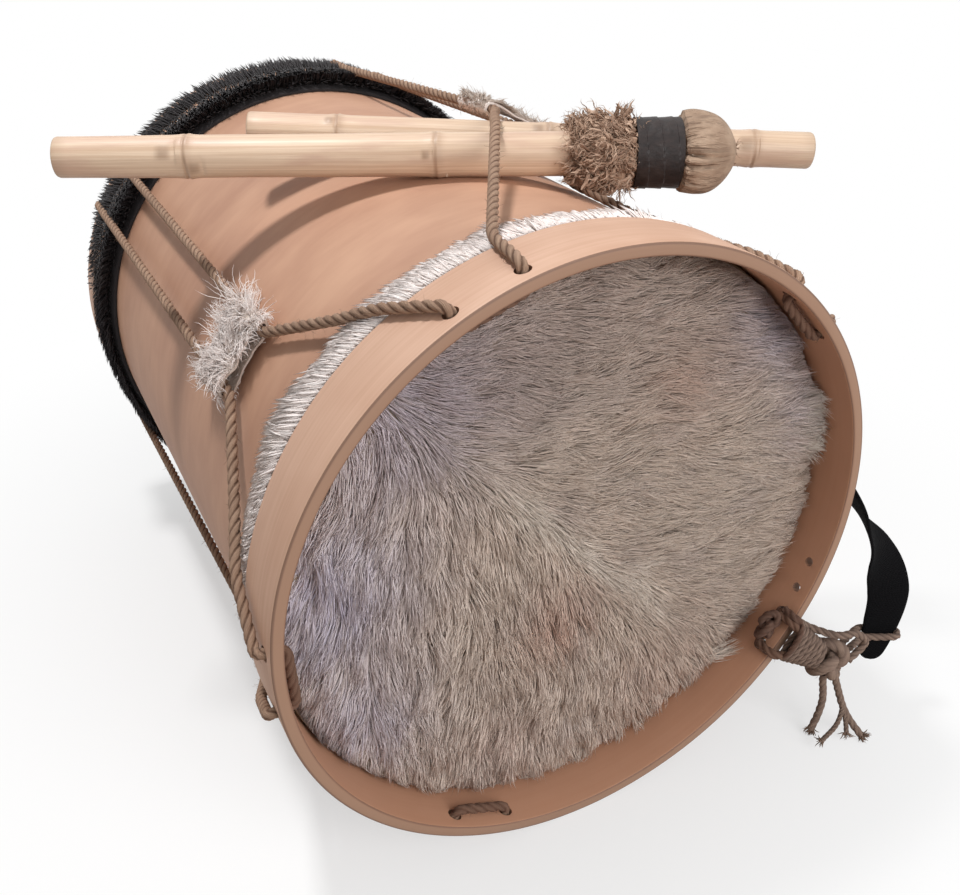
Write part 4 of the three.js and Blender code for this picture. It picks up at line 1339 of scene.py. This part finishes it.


# root and depth set the painted shade deep in the hair
greyFur = furFinish("grey_tug_fur", {
    "root": tint(176, 158, 146), "dark": tint(186, 170, 158), "light": tint(222, 208, 196),
    "pale": tint(236, 226, 216), "first": tint(206, 204, 214), "second": tint(190, 166, 152),
    "third": tint(150, 130, 118), "depth": 0.4,
}, 0.75)
paleFur = furFinish("pale_fur", {
    "root": tint(190, 171, 156), "dark": tint(214, 197, 182), "light": tint(236, 221, 209),
    "pale": tint(250, 242, 232), "first": tint(206, 204, 230), "second": tint(214, 168, 150),
    "third": tint(176, 154, 142), "depth": 0.35, "rim": tint(96, 78, 70),
}, 0.7)
whiteFur = furFinish("white_fringe_fur", {
    "root": tint(250, 238, 232), "dark": tint(250, 238, 233), "light": tint(255, 250, 248),
    "pale": tint(255, 250, 244), "first": tint(236, 222, 220), "second": tint(190, 170, 156),
    "third": tint(160, 140, 126), "depth": 0.5,
}, 0.7)
darkFur = furFinish("dark_fur", {
    "root": tint(14, 11, 12), "dark": tint(20, 15, 17), "light": tint(42, 33, 36),
    "pale": tint(84, 70, 66), "first": tint(60, 45, 40), "second": tint(20, 16, 20),
    "third": tint(74, 58, 50), "depth": 0.7,
}, 0.6)


def skinFinish(name, light, dark, edge=None):
    made, tree = material(name)
    at = fromAxis(tree)[0]
    grain = tree.noise(at, 420.0, 4.0, 0.65)
    stains = tree.noise(at, 22.0, 3.0, 0.5)
    colour = tree.mix(grain.between(0.3, 0.7) * 0.5 + stains.between(0.3, 0.7) * 0.5, dark, light)
    if edge:
        colour = tree.mix(at.part("Y").between(0.034, 0.038), colour, edge)
    surface(tree, colour, 0.8, grain, 0.0006)
    return made


paleSkin = skinFinish("pale_hide", tint(176, 158, 142), tint(132, 114, 100), tint(252, 242, 236))
whiteSkin = skinFinish("white_hide", tint(226, 214, 204), tint(196, 180, 168))
darkSkin = skinFinish("dark_hide", tint(34, 27, 28), tint(20, 15, 17))


# Hides: over the shell's end, round the flesh ring and out again as a fringe
hide = {
    "sleeveInner": shellOuter + 0.3, "collarOuter": collarOuter + 0.6,
    "ringStart": drum["hoopWidth"] + 0.3, "ringEnd": drum["hoopWidth"] + 9.8, "sides": 192,
}


def makeHide(name, node, finish, slot, flip):
    wall, sleeve, collar = drum["hideThickness"], hide["sleeveInner"], hide["collarOuter"]
    recess, ringStart, ringEnd = drum["recess"], hide["ringStart"], hide["ringEnd"]
    section = [(radius, recess) for radius in (0.5, 40, 80, 120, 150, sleeve + wall - 0.8)]
    section += [(sleeve + wall, recess + 0.8), (sleeve + wall, ringEnd + 0.3),
                (collar - wall, ringEnd + 0.3)]
    section += [(collar - wall, ringStart), (collar, ringStart), (collar, ringEnd + 0.5)]
    section += [(collar - 1.2, ringEnd + 3)]
    section += [(sleeve + 2 * wall, fringeEnd - 6), (sleeve + wall, fringeEnd), (sleeve, fringeEnd)]
    section += [(sleeve, recess + wall), (0.5, recess + wall)]
    if flip:
        section = [(radius, rearY - y) for radius, y in section]
    settle(turnedPiece(name, section, hide["sides"], finish, closed=False), "drum", slot, node)


makeHide("front_skin", "front_hide", paleSkin, "pale_fur_hide", False)
makeHide("rear_skin", "rear_hide", darkSkin, "dark_fur_hide", True)

# The front fur parts at a crest: above it the hair runs to the right, below it down
crest = {"side": Vector((0.73, 0, 0.68)), "blend": 26, "right": 4, "down": -94}
patches = [  # centre x, z, radius, and the strength of the bluish, pinkish and dark shades; the dark along the top is painted shade under the hoop
    (-140, 20, 48, (0.8, 0, 0)), (-125, -70, 40, (0.6, 0, 0)), (-100, 112, 40, (0.7, 0, 0.2)),
    (116, 112, 34, (0.8, 0, 0.1)), (150, 50, 26, (0.5, 0.1, 0)), (-10, -42, 24, (0, 0.6, 0.2)),
    (55, 85, 30, (0, 0.3, 0.1)), (-60, 120, 40, (0.2, 0, 0.4)), (0, 140, 60, (0.1, 0, 0.5)),
    (80, 110, 40, (0, 0, 0.3)), (60, -110, 40, (0, 0.25, 0)), (-40, -120, 36, (0.1, 0.25, 0)),
]
tufts = [(153, 50, 12), (158, 27, 9)]  # centre x, z and radius


def combFront(point):
    def nearTo(x, z, radius):
        return math.exp(-((point.x - x) ** 2 + (point.z - z) ** 2) / radius ** 2)

    flat = Vector((point.x, 0, point.z))
    off = flat.dot(crest["side"]) + 9 * noise.noise(flat / 30)
    share = 0.5 + 0.5 * math.tanh(off / crest["blend"])
    angle = crest["down"] + (crest["right"] - crest["down"]) * share
    if off < 0:
        angle += point.x * 0.12
    angle += 34 * noise.noise(flat / 42 + Vector((5, 0, 0))) + 20 * noise.noise(flat / 15)
    turn = math.radians(angle)
    edge = min(1, max(0, (hoopInner - flat.length) / 28))
    shades = Vector((0, 0, 0))
    for x, z, radius, strength in patches:
        shades += Vector(strength) * nearTo(x, z, radius)
    blotch = noise.noise(flat / 20 + Vector((9, 9, 9)))
    shades += Vector((max(0, blotch) * 0.15, max(0, -blotch) * 0.2, blotch * 0.3))
    shades.z -= 0.7 * bell(off, 6) * bell(flat.length, 95, 4)
    flow, long = Vector((math.cos(turn), 0, math.sin(turn))), 0.46 + 0.54 * edge
    for x, z, radius in tufts:  # longer white hair that spills on to the hoop
        near = nearTo(x, z, radius)
        flow = flow.lerp(flat.normalized() + Vector((0, -0.7, 0)), near)
        long += near * 0.6
        shades.z -= near * 1.2
    return flow, long, 1, shades


# Hair: strands to a square millimetre and sizes in millimetres; each layer is a piece of its own
frontFur = {
    "layers": ("short", "fine", "short", "fine", "short", "fine"), "density": 0.117, "length": 28,
    "width": 0.27, "lift": 5.6, "droop": 0.5, "spread": 0.15, "stray": 0.26, "vary": 0.5, "tuft": 0.5,
    "tuftSize": 8, "curl": 1.6, "turns": 0.8, "outside": hoopInner - 2.4,
}
rearFur = {**frontFur, "layers": ("short", "short"), "density": 0.1, "length": 25, "width": 0.45, "lift": 7}


def combRear(point):
    flat = Vector((point.x, 0, point.z))
    turn = math.radians(-80 + 30 * noise.noise(flat / 50) + 16 * noise.noise(flat / 16))
    edge = min(1, max(0, (hoopInner - flat.length) / 22))
    brown = max(0, noise.noise(flat / 45 + Vector((3, 3, 3)))) * 0.5
    return Vector((math.cos(turn), 0, math.sin(turn))), 0.62 + 0.38 * edge, 1, Vector((brown, 0, 0))


def makeHead(name, look, comb, y, front, finish, slot, node):
    rows = [(radius, y) for radius in (0.5, *range(8, 160, 8), 163, hide["sleeveInner"])]
    points, faces = ringSheet(rows, 96, flip=front)
    for layer, strand in enumerate(look["layers"]):
        base = hairBase("head", points, faces, comb)
        seed = 10 * layer + (1 if front else 5)
        piece = growHair(f"{name}_{layer + 1}", base, {**look, "strand": strand}, seed, finish)
        settle(piece, "drum", slot, node)


makeHead("front_fur", frontFur, combFront, drum["recess"], True, paleFur, "pale_fur_hide", "front_hide")
makeHead("rear_fur", rearFur, combRear, rearY - drum["recess"], False, darkFur, "dark_fur_hide",
         "rear_hide")

tuftFur = {
    **frontFur, "density": 1.3, "strand": "bent", "width": 0.3, "lift": 3, "spread": 0.22, "stray": 0.1,
    "vary": 0.6, "tuft": 0.55, "curl": 1.2, "outside": hoopInner - 1,
}
looseTufts = [  # on the front fur: the size is its root's, and pale how much paler it is
    {"root": (105, -2, -123), "points": (1, -0.4, 0.2), "length": 30, "size": 4.5, "pale": 0.3},
    {"root": (156, -1, 46), "points": (1, -1.2, 0.1), "length": 17, "size": 8, "pale": 0.9},
    {"root": (160, -1, 20), "points": (1, -1.4, -0.2), "length": 15, "size": 7, "pale": 0.9},
]


def makeTufts():
    for i, tuft in enumerate(looseTufts):
        x, y, z = tuft["root"]
        root = Vector((x, drum["recess"] + y, z))
        ring = [root + polar(tuft["size"], 45 * k, 0) for k in range(8)][::-1]
        toward = Vector(tuft["points"]).normalized()
        comb = (toward, 1, 1, Vector((0, 0, -tuft["pale"])))
        base = hairBase("tuft", ring, [tuple(range(8))], lambda point: comb)
        piece = growHair(f"front_tuft_{i + 1}", base, {**tuftFur, "length": tuft["length"]}, 60 + i,
                         paleFur)
        settle(piece, "drum", "pale_fur_hide", "front_hide")


makeTufts()

# Fringes: places give an angle, half a width, and how much longer the hair is there
whiteFringe = {
    "density": 0.62, "strand": "short", "length": 14, "width": 0.6, "lift": 0.7, "droop": 0.9,
    "spread": 0.12,
    "stray": 0.06, "vary": 0.25, "tuft": 0.2, "tuftSize": 10, "sag": 0.9, "curl": 0.5, "turns": 0.8,
    "inside": shellOuter + 0.4, "stand": -0.3, "flatTo": 12, "ragged": 0.3, "wild": 1,
    "places": [(144, 10, 0.7), (122, 7, 0.4), (100, 6, 0.5), (78, 5, 0.5)],
}
blackFringe = {
    **whiteFringe, "density": 0.3, "strand": "fine", "length": 20, "width": 0.5, "lift": 2, "droop": 0.3,
    "spread": 0.14, "vary": 0.1, "tuftSize": 6, "sag": 0.7, "curl": 0.6, "outside": hoopOuter + 3.5,
    "stand": 1.7, "flatTo": 0.1, "ragged": 0.06, "wild": 0, "places": [(125, 40, 0.15), (194, 32, -0.4)],
}
blackOver = {
    **blackFringe, "strand": "short", "density": 0.32, "length": 18, "width": 0.55, "lift": 3,
    "stand": 0.15,
    "sag": 0.5, "inside": hoopOuter + 0.4, "outside": hoopOuter + 6, "over": (0.5, 6, 12, 18, 22),
    "places": [(183, 22, -0.65)],
}
blackUnder = {
    **blackFringe, "strand": "short", "density": 0.22, "length": 11, "spread": 0.5, "vary": 0.5,
    "stand": 0.5,
}


def makeFringe(name, look, y0, onwards, seed, finish, slot, node):
    way = -onwards if "over" in look else onwards

    def comb(point):
        angle = math.atan2(point.z, point.x)
        around = Vector((math.cos(angle), 0, math.sin(angle)))
        sideways = Vector((-around.z, 0, around.x))
        sag = sideways * -sideways.z * look["sag"]
        rough = noise.noise(around * 5 + Vector((0, y0, 0)))
        longer = sum(more * bell(math.remainder(math.degrees(angle) - at, 360), width)
                     for at, width, more in look["places"])
        wild = longer * look["wild"]
        rough += wild * noise.noise(around * 22 + Vector((7, 0, 0))) * 2
        bare = min(1, max(0, -2 * longer))  # where the hair is short it lies flat, and leaves the hoop bare
        stand = look["stand"] * min(1, abs(point.y - y0) / look["flatTo"]) * (1 - bare)
        flow = Vector((0, way, 0)) + sag + sideways * rough * 0.5 + around * (stand + wild * 0.25)
        long = 0.9 + look["ragged"] * noise.noise(around * 9 + Vector((2, y0, 4))) + longer
        down = min(1, max(0.25, (point.z + drum["hoopRadius"] - 2) / 14))
        shades = Vector((max(0, rough) * 0.4, max(0, -rough) * 0.12, 0))
        return flow.normalized(), long * down, 1 - bare * ("over" in look), shades

    collar = hide["collarOuter"]
    slope = ((0, 0.5), (0, 4), (0, 8), (0, 11), (1.5, 15), (3, 19), (3.6, 24))
    rows = [(collar - drop, y0 + onwards * d) for drop, d in slope]
    if "over" in look:
        rows = [(look["inside"], y0 + way * d) for d in look["over"]]
    points, faces = ringSheet(rows, 160, flip=way > 0)
    piece = growHair(name, hairBase("fringe", points, faces, comb), look, seed, finish)
    settle(piece, "drum", slot, node)


makeFringe("front_fringe", whiteFringe, drum["hoopWidth"], 1, 3, whiteFur, "pale_fur_hide", "front_hide")
makeFringe("rear_fringe", blackFringe, rearHoopY, -1, 3, darkFur, "dark_fur_hide", "rear_hide")
makeFringe("rear_fringe_over", blackOver, rearHoopY, -1, 6, darkFur, "dark_fur_hide", "rear_hide")
makeFringe("rear_fringe_under", blackUnder, rearHoopY, -1, 4, darkFur, "dark_fur_hide", "rear_hide")
print("hides and fur made")


# Tugs: bands of hide round two ropes, with the hair left on
tugFur = {
    "strand": "fine", "width": 0.26, "droop": 0.4, "spread": 0.5, "stray": 0.7, "vary": 0.65, "tuft": 0.6,
    "tuftSize": 6, "curl": 2.4, "turns": 0.9, "inside": shellOuter + 1, "finish": whiteFur,
}
smoothFur = {"finish": greyFur, "spread": 0.16, "stray": 0.12, "curl": 0.4, "vary": 0.3}
tugHair = [
    {"length": 10, "lift": 4, "density": 0.5},
    {"length": 10, "lift": 2, "density": 0.9, **smoothFur},
    {"length": 19, "lift": 6, "density": 0.75, "strand": "bent"},
    {"length": 9, "lift": 3, "density": 0.6},
    {"length": 7, "lift": 1.8, "density": 0.5},
]


def makeTug(i):
    one, two = (tugPoint(i, side, tugs[i]["y"]) for side in (-1, 1))
    ahead = [tugPoint(i, side, tugs[i]["y"] + 100) for side in (-1, 1)]
    axis = (ahead[0] + ahead[1] - one - two).normalized()
    across = two - one
    across = (across - axis * across.dot(axis)).normalized()
    outward = axis.cross(across)
    middle, half = (one + two) / 2, (two - one).length / 2
    bore, wall, length = rope["radius"] + tugLook["slack"], tugLook["wall"], tugLook["length"]
    steps, rings = tugLook["sides"], tugLook["rings"]

    def outline(turn, thick):
        x, y = math.cos(turn), math.sin(turn)
        pinch = 1 - 0.42 * bell(x * (half + bore), half * 0.6, 4)
        depth = math.copysign(abs(y) ** 0.55, y) * (bore + thick) * pinch
        return Vector((x * (half + bore * 0.9 + thick), depth, 0))

    def spot(turn, thick, k):
        flat = outline(turn, thick)
        share = k / (rings - 1)
        where = Vector((math.cos(turn) * 2, math.sin(turn) * 2, i * 7 + round(share)))
        ragged = 3 * noise.noise(where) * abs(share * 2 - 1) ** 4
        crumple = 0.7 * noise.noise(Vector((flat.x / 6, flat.y / 6, share * 5 + i * 9)))
        flat *= 1 + crumple / max(6, flat.length)
        return middle + across * flat.x + outward * flat.y + axis * ((share - 0.5) * length + ragged)

    points, faces, walls = [], [], ((wall, range(rings)), (0.1, range(rings - 1, -1, -1)))
    for thick, order in walls:
        for k in order:
            points += [spot(2 * math.pi * j / steps, thick, k) for j in range(steps)]
    rows = 2 * rings
    for r in range(rows):
        for j in range(steps):
            after = (j + 1) % steps
            nextRow = (r + 1) % rows
            faces.append((r * steps + j, r * steps + after, nextRow * steps + after, nextRow * steps + j))
    body, node = "tug_" + "abcde"[i], f"tug_{i + 1}"
    finish = paleSkin if i == tugLook["lifted"] else whiteSkin
    settle(outwards(meshPiece(f"hide_tug_{i + 1}", points, faces, finish, 50)), body, "tug_hide", node)
    skin, covered = points[:rings * steps], faces[:(rings - 1) * steps]

    def comb(point):
        offset = point - middle
        around = noise.noise(point / 9 + Vector((i, 0, 0)))
        flow = axis * (-1 if around < 0.1 else 1) + across * noise.noise(point / 7) * 1.6 + outward * 0.2
        under = 0.3 if offset.dot(outward) < -1 else 1
        shades = Vector((0, max(0, around) * 0.4, max(0, -around) * 0.3))
        return flow, under * (0.8 + 0.4 * around), under, shades

    look = {**tugFur, **tugHair[i]}
    base = hairBase("tug", skin, covered, comb)
    base.update()
    centre = place(middle)
    outside = sum((p.center - centre).dot(p.normal) for p in base.polygons)
    if outside < 0:
        base.flip_normals()
    settle(growHair(f"tug_hair_{i + 1}", base, look, 20 + i, look["finish"]), body, "tug_hide", node)


for i in range(len(tugs)):
    makeTug(i)
print("tugs made")


# Frayed ends of the tails, and loose fibres all along the rope
# root and depth set the painted shade deep in the fibres
fibreFinish = furFinish("rope_fibres", {
    "root": tint(120, 96, 80), "dark": tint(128, 104, 88), "light": tint(186, 156, 132),
    "pale": tint(210, 184, 160), "first": tint(150, 130, 116), "second": tint(140, 110, 92),
    "third": tint(92, 72, 62), "depth": 0.4,
}, 0.9)
frayLook = {
    "density": 3.4, "strand": "bent", "length": 7, "width": 0.5, "lift": 0.4, "droop": 0.2, "spread": 0.42,
    "stray": 0.2, "vary": 0.4, "tuft": 0.1, "tuftSize": 3, "curl": 0.9, "turns": 0.8,
}
fuzzLook = {
    **frayLook, "density": 0.025, "strand": "fine", "length": 4, "width": 0.11, "lift": 1.6, "spread": 0.8,
    "vary": 0.7,
}


def fray(name, path, radius, node, seed):
    end, run = path[-1], (path[-1] - path[-3]).normalized()
    side = run.cross(Vector((0, 1, 0.3))).normalized()
    over = run.cross(side)
    ring = []
    for k in range(8):
        turn = k * math.pi / 4
        ring.append(end - run * 1.5 + (side * math.cos(turn) + over * math.sin(turn)) * radius)

    def comb(point):
        return run + (point - end) / radius * 0.35, 0.9, 1, Vector((0.2, 0, 0.5))

    base = hairBase("fray", ring, [tuple(range(8))], comb)
    return settle(growHair(name, base, frayLook, seed, fibreFinish), "drum", "jute_rope", node)


def fuzz(name, node, seed):
    piece = bpy.data.objects[name]
    points = [(vertex.co - rimCentre) / mm for vertex in piece.data.vertices]
    faces = [tuple(polygon.vertices) for polygon in piece.data.polygons]

    def comb(point):
        return noise.noise_vector(point / 2.5) + Vector((0, 0, -0.05)), 1, 1, Vector((0, 0, 0))

    base = hairBase("fuzz", points, faces, comb)
    settle(growHair(name + "_fuzz", base, fuzzLook, seed, fibreFinish), "drum", "jute_rope", node)


for tailName, paths in tailPaths.items():
    parts = tailParts[tailName]
    for i, path in enumerate(paths):
        radius = (tailCord if i == 0 else splitCord)["radius"] * 0.85
        parts.append(fray(f"{tailName}_fray_{i + 1}", path, radius, tailName, 40 + i))
    route = paths[0]
    length = sum((b - a).length for a, b in zip(route, route[1:]))
    place(route[0])
    [place(p) for p in route]
    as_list(parts[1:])
    print(tailName, "length", round(length, 1))
fuzz("lacing", "lacing_rope", 50)
fuzz("front_knot", "front_tie_knot", 51)
print("frayed ends made")


# Frayed cloth behind the tape, and loose threads at the ball's tip
threadLook = {
    "density": 0.29, "strand": "curled", "length": 12, "width": 0.34, "lift": 3, "droop": 0.5,
    "spread": 0.6,
    "stray": 0.75, "vary": 0.5, "tuft": 0.75, "tuftSize": 7, "curl": 1.9, "turns": 1.5,
    "inside": shellOuter + 5.5,
}
ragLook = {
    **threadLook, "density": 0.08, "strand": "ribbon", "width": 0.8, "lift": 3.4, "curl": 2, "turns": 1,
    "tuft": 0.5, "vary": 0.4,
}
tipLook = {**threadLook, "density": 0.26, "length": 9, "curl": 1.6, "ring": 6}
collarLook = {"sides": 96, "steps": 5, "folds": 6, "bulge": 1.8}


def makeCollar():
    start, end, top = mallet["collarStart"] + 3, mallet["tapeStart"] - 0.5, mallet["collarRadius"]
    inner = mallet["caneRadius"] + 0.4
    outer = [(inner + 1.2, start), (top - 6, start + 6), (top - 3.5, start + 14), (top - 3, start + 22)]
    outer += [(top - 3.5, end - 6), (mallet["tapeRadius"] - 1.5, end)]
    section = []
    for here, after in zip(outer, outer[1:]):
        section += between(here, after, collarLook["steps"])
    section += [outer[-1], (inner, end), (inner, start)]

    def shape(turn, radius, distance):
        if radius < inner + 0.6:
            return 0
        where = Vector((math.cos(turn) * 2.2, math.sin(turn) * 2.2, distance / 9))
        folds = abs(noise.noise(where * 1.9)) * collarLook["folds"] - 1.6
        return collarLook["bulge"] * noise.noise(where) + folds

    piece = turnedPiece("rag_collar", section, collarLook["sides"], ragFinish, shape,
                        roundStick(malletLine))
    settle(piece, "mallet", "burlap", "mallet_cloth")
    count = len(section)
    points = [(v.co - rimCentre) / mm for v in piece.data.vertices]
    covered = [tuple(p.vertices) for p in piece.data.polygons
               if all(v % count <= count - 2 for v in p.vertices)]

    def comb(point):
        offset = point - malletLine["start"]
        distance = offset.dot(malletLine["axis"])
        outward = (offset - malletLine["axis"] * distance).normalized()
        around = malletLine["axis"].cross(outward)
        wild = noise.noise(point / 6)
        sideways = around * (1.2 * noise.noise(point / 8 + Vector((4, 4, 4))))
        flow = malletLine["axis"] * (-0.7 + wild) + sideways + outward * 0.35
        shade = noise.noise(point / 5 + Vector((8, 1, 1)))
        return flow, 0.8 + 0.4 * wild, 1, Vector((max(0, shade), 0, max(0, -shade) * 1.2))

    # root and depth set the painted shade deep in the fibres
    fibres = furFinish("rag_fibres", {
        "root": tint(140, 108, 88), "dark": tint(170, 138, 116), "light": tint(218, 188, 164),
        "pale": tint(236, 212, 190), "first": tint(222, 194, 172), "second": tint(170, 136, 112),
        "third": tint(104, 76, 62), "depth": 0.5,
    }, 0.85)
    for name, look, seed in (("rag_fibres", threadLook, 31), ("rag_ends", ragLook, 32)):
        piece = growHair(name, hairBase("rags", points, covered, comb), look, seed, fibres)
        settle(piece, "mallet", "burlap", "mallet_cloth")
    tipAt = mallet["ballCentre"] + mallet["ballRadius"] - 1
    tip = stickPoint(malletLine, tipAt)
    spot = roundStick(malletLine)
    ring = [spot(tipLook["ring"], k * math.pi / 4, tipAt) for k in range(8)]

    def loose(point):
        away = point - tip
        return malletLine["axis"] + away * 0.16, 0.8, 1, Vector((0, 0, 0.3))

    piece = growHair("tip_threads", hairBase("tip", ring, [tuple(range(8))], loose), tipLook, 33, fibres)
    settle(piece, "mallet", "burlap", "mallet_cloth")


makeCollar()
print("rags made")


# Floor, backdrop and light
studio = {
    "floor": 30, "seen": tint(246, 246, 246), "lit": tint(170, 154, 142), "white": (0.15, 0.6), "sky": 0.3,
    "target": (0, 0, 0.18),
}


def seenRays(tree):  # 1 where a camera, gloss or glass looks, and 0 for the light that falls on the drum
    rays = tree.node("ShaderNodeLightPath", {}, {}, "Is Camera Ray")
    return rays.to("MAXIMUM", rays.out("Is Glossy Ray")).to("MAXIMUM", rays.out("Is Transmission Ray"))


def makeStage():
    made, tree = material("floor")
    away = (tree.coordinates() * (1.0, 1.0, 0.0)).to("LENGTH").between(*studio["white"], 0.5, 1.0)
    seen = seenRays(tree)
    surface(tree, tree.mix(seen, studio["lit"], studio["seen"]), 0.9)
    shader = tree.group.nodes["Principled BSDF"]
    glow = tree.node("ShaderNodeEmission", {}, {"Color": (1, 1, 1, 1), "Strength": 1.0})
    both = tree.node("ShaderNodeMixShader", {}, {0: away * seen})
    tree.group.links.new(shader.outputs[0], both.socket.node.inputs[1])
    tree.group.links.new(glow.socket, both.socket.node.inputs[2])
    tree.group.links.new(both.socket, tree.group.nodes["Material Output"].inputs["Surface"])
    mesh = bpy.data.meshes.new("floor")
    size = studio["floor"]
    corners = [(-size, -size, 0), (size, -size, 0), (size, size, 0), (-size, size, 0)]
    mesh.from_pydata(corners, [], [(0, 1, 2, 3)])
    mesh.materials.append(made)
    floor = bpy.data.objects.new("floor", mesh)
    bpy.context.scene.collection.objects.link(floor)

    world = bpy.data.worlds.new("studio")
    bpy.context.scene.world = world
    world.use_nodes = True
    background = world.node_tree.nodes["Background"]
    strength = studio["sky"] + seenRays(Tree(world.node_tree)) * 0.7
    world.node_tree.links.new(strength.socket, background.inputs["Strength"])
    background.inputs["Color"].default_value = (1, 1, 1, 1)


lights = {  # place, watts and size of each lamp, all turned to the drum
    "overhead": ((-0.34, 0.22, 1.7), 16.6, 0.2),
    "front": ((0.3, -1.65, 0.95), 20, 1.2),
}


def makeLights():
    target = Vector(studio["target"])
    for name, (spot, watts, size) in lights.items():
        data = bpy.data.lights.new(name, "AREA")
        data.energy = watts
        data.size = size
        lamp = bpy.data.objects.new(name, data)
        lamp.location = spot
        lamp.rotation_mode = "QUATERNION"
        lamp.rotation_quaternion = (target - Vector(spot)).to_track_quat("-Z", "Y")
        bpy.context.scene.collection.objects.link(lamp)


makeStage()
makeLights()
bpy.context.scene.view_settings.view_transform = "Standard"
for strand in strandOf.values():
    bpy.data.objects.remove(strand)
print("stage made")
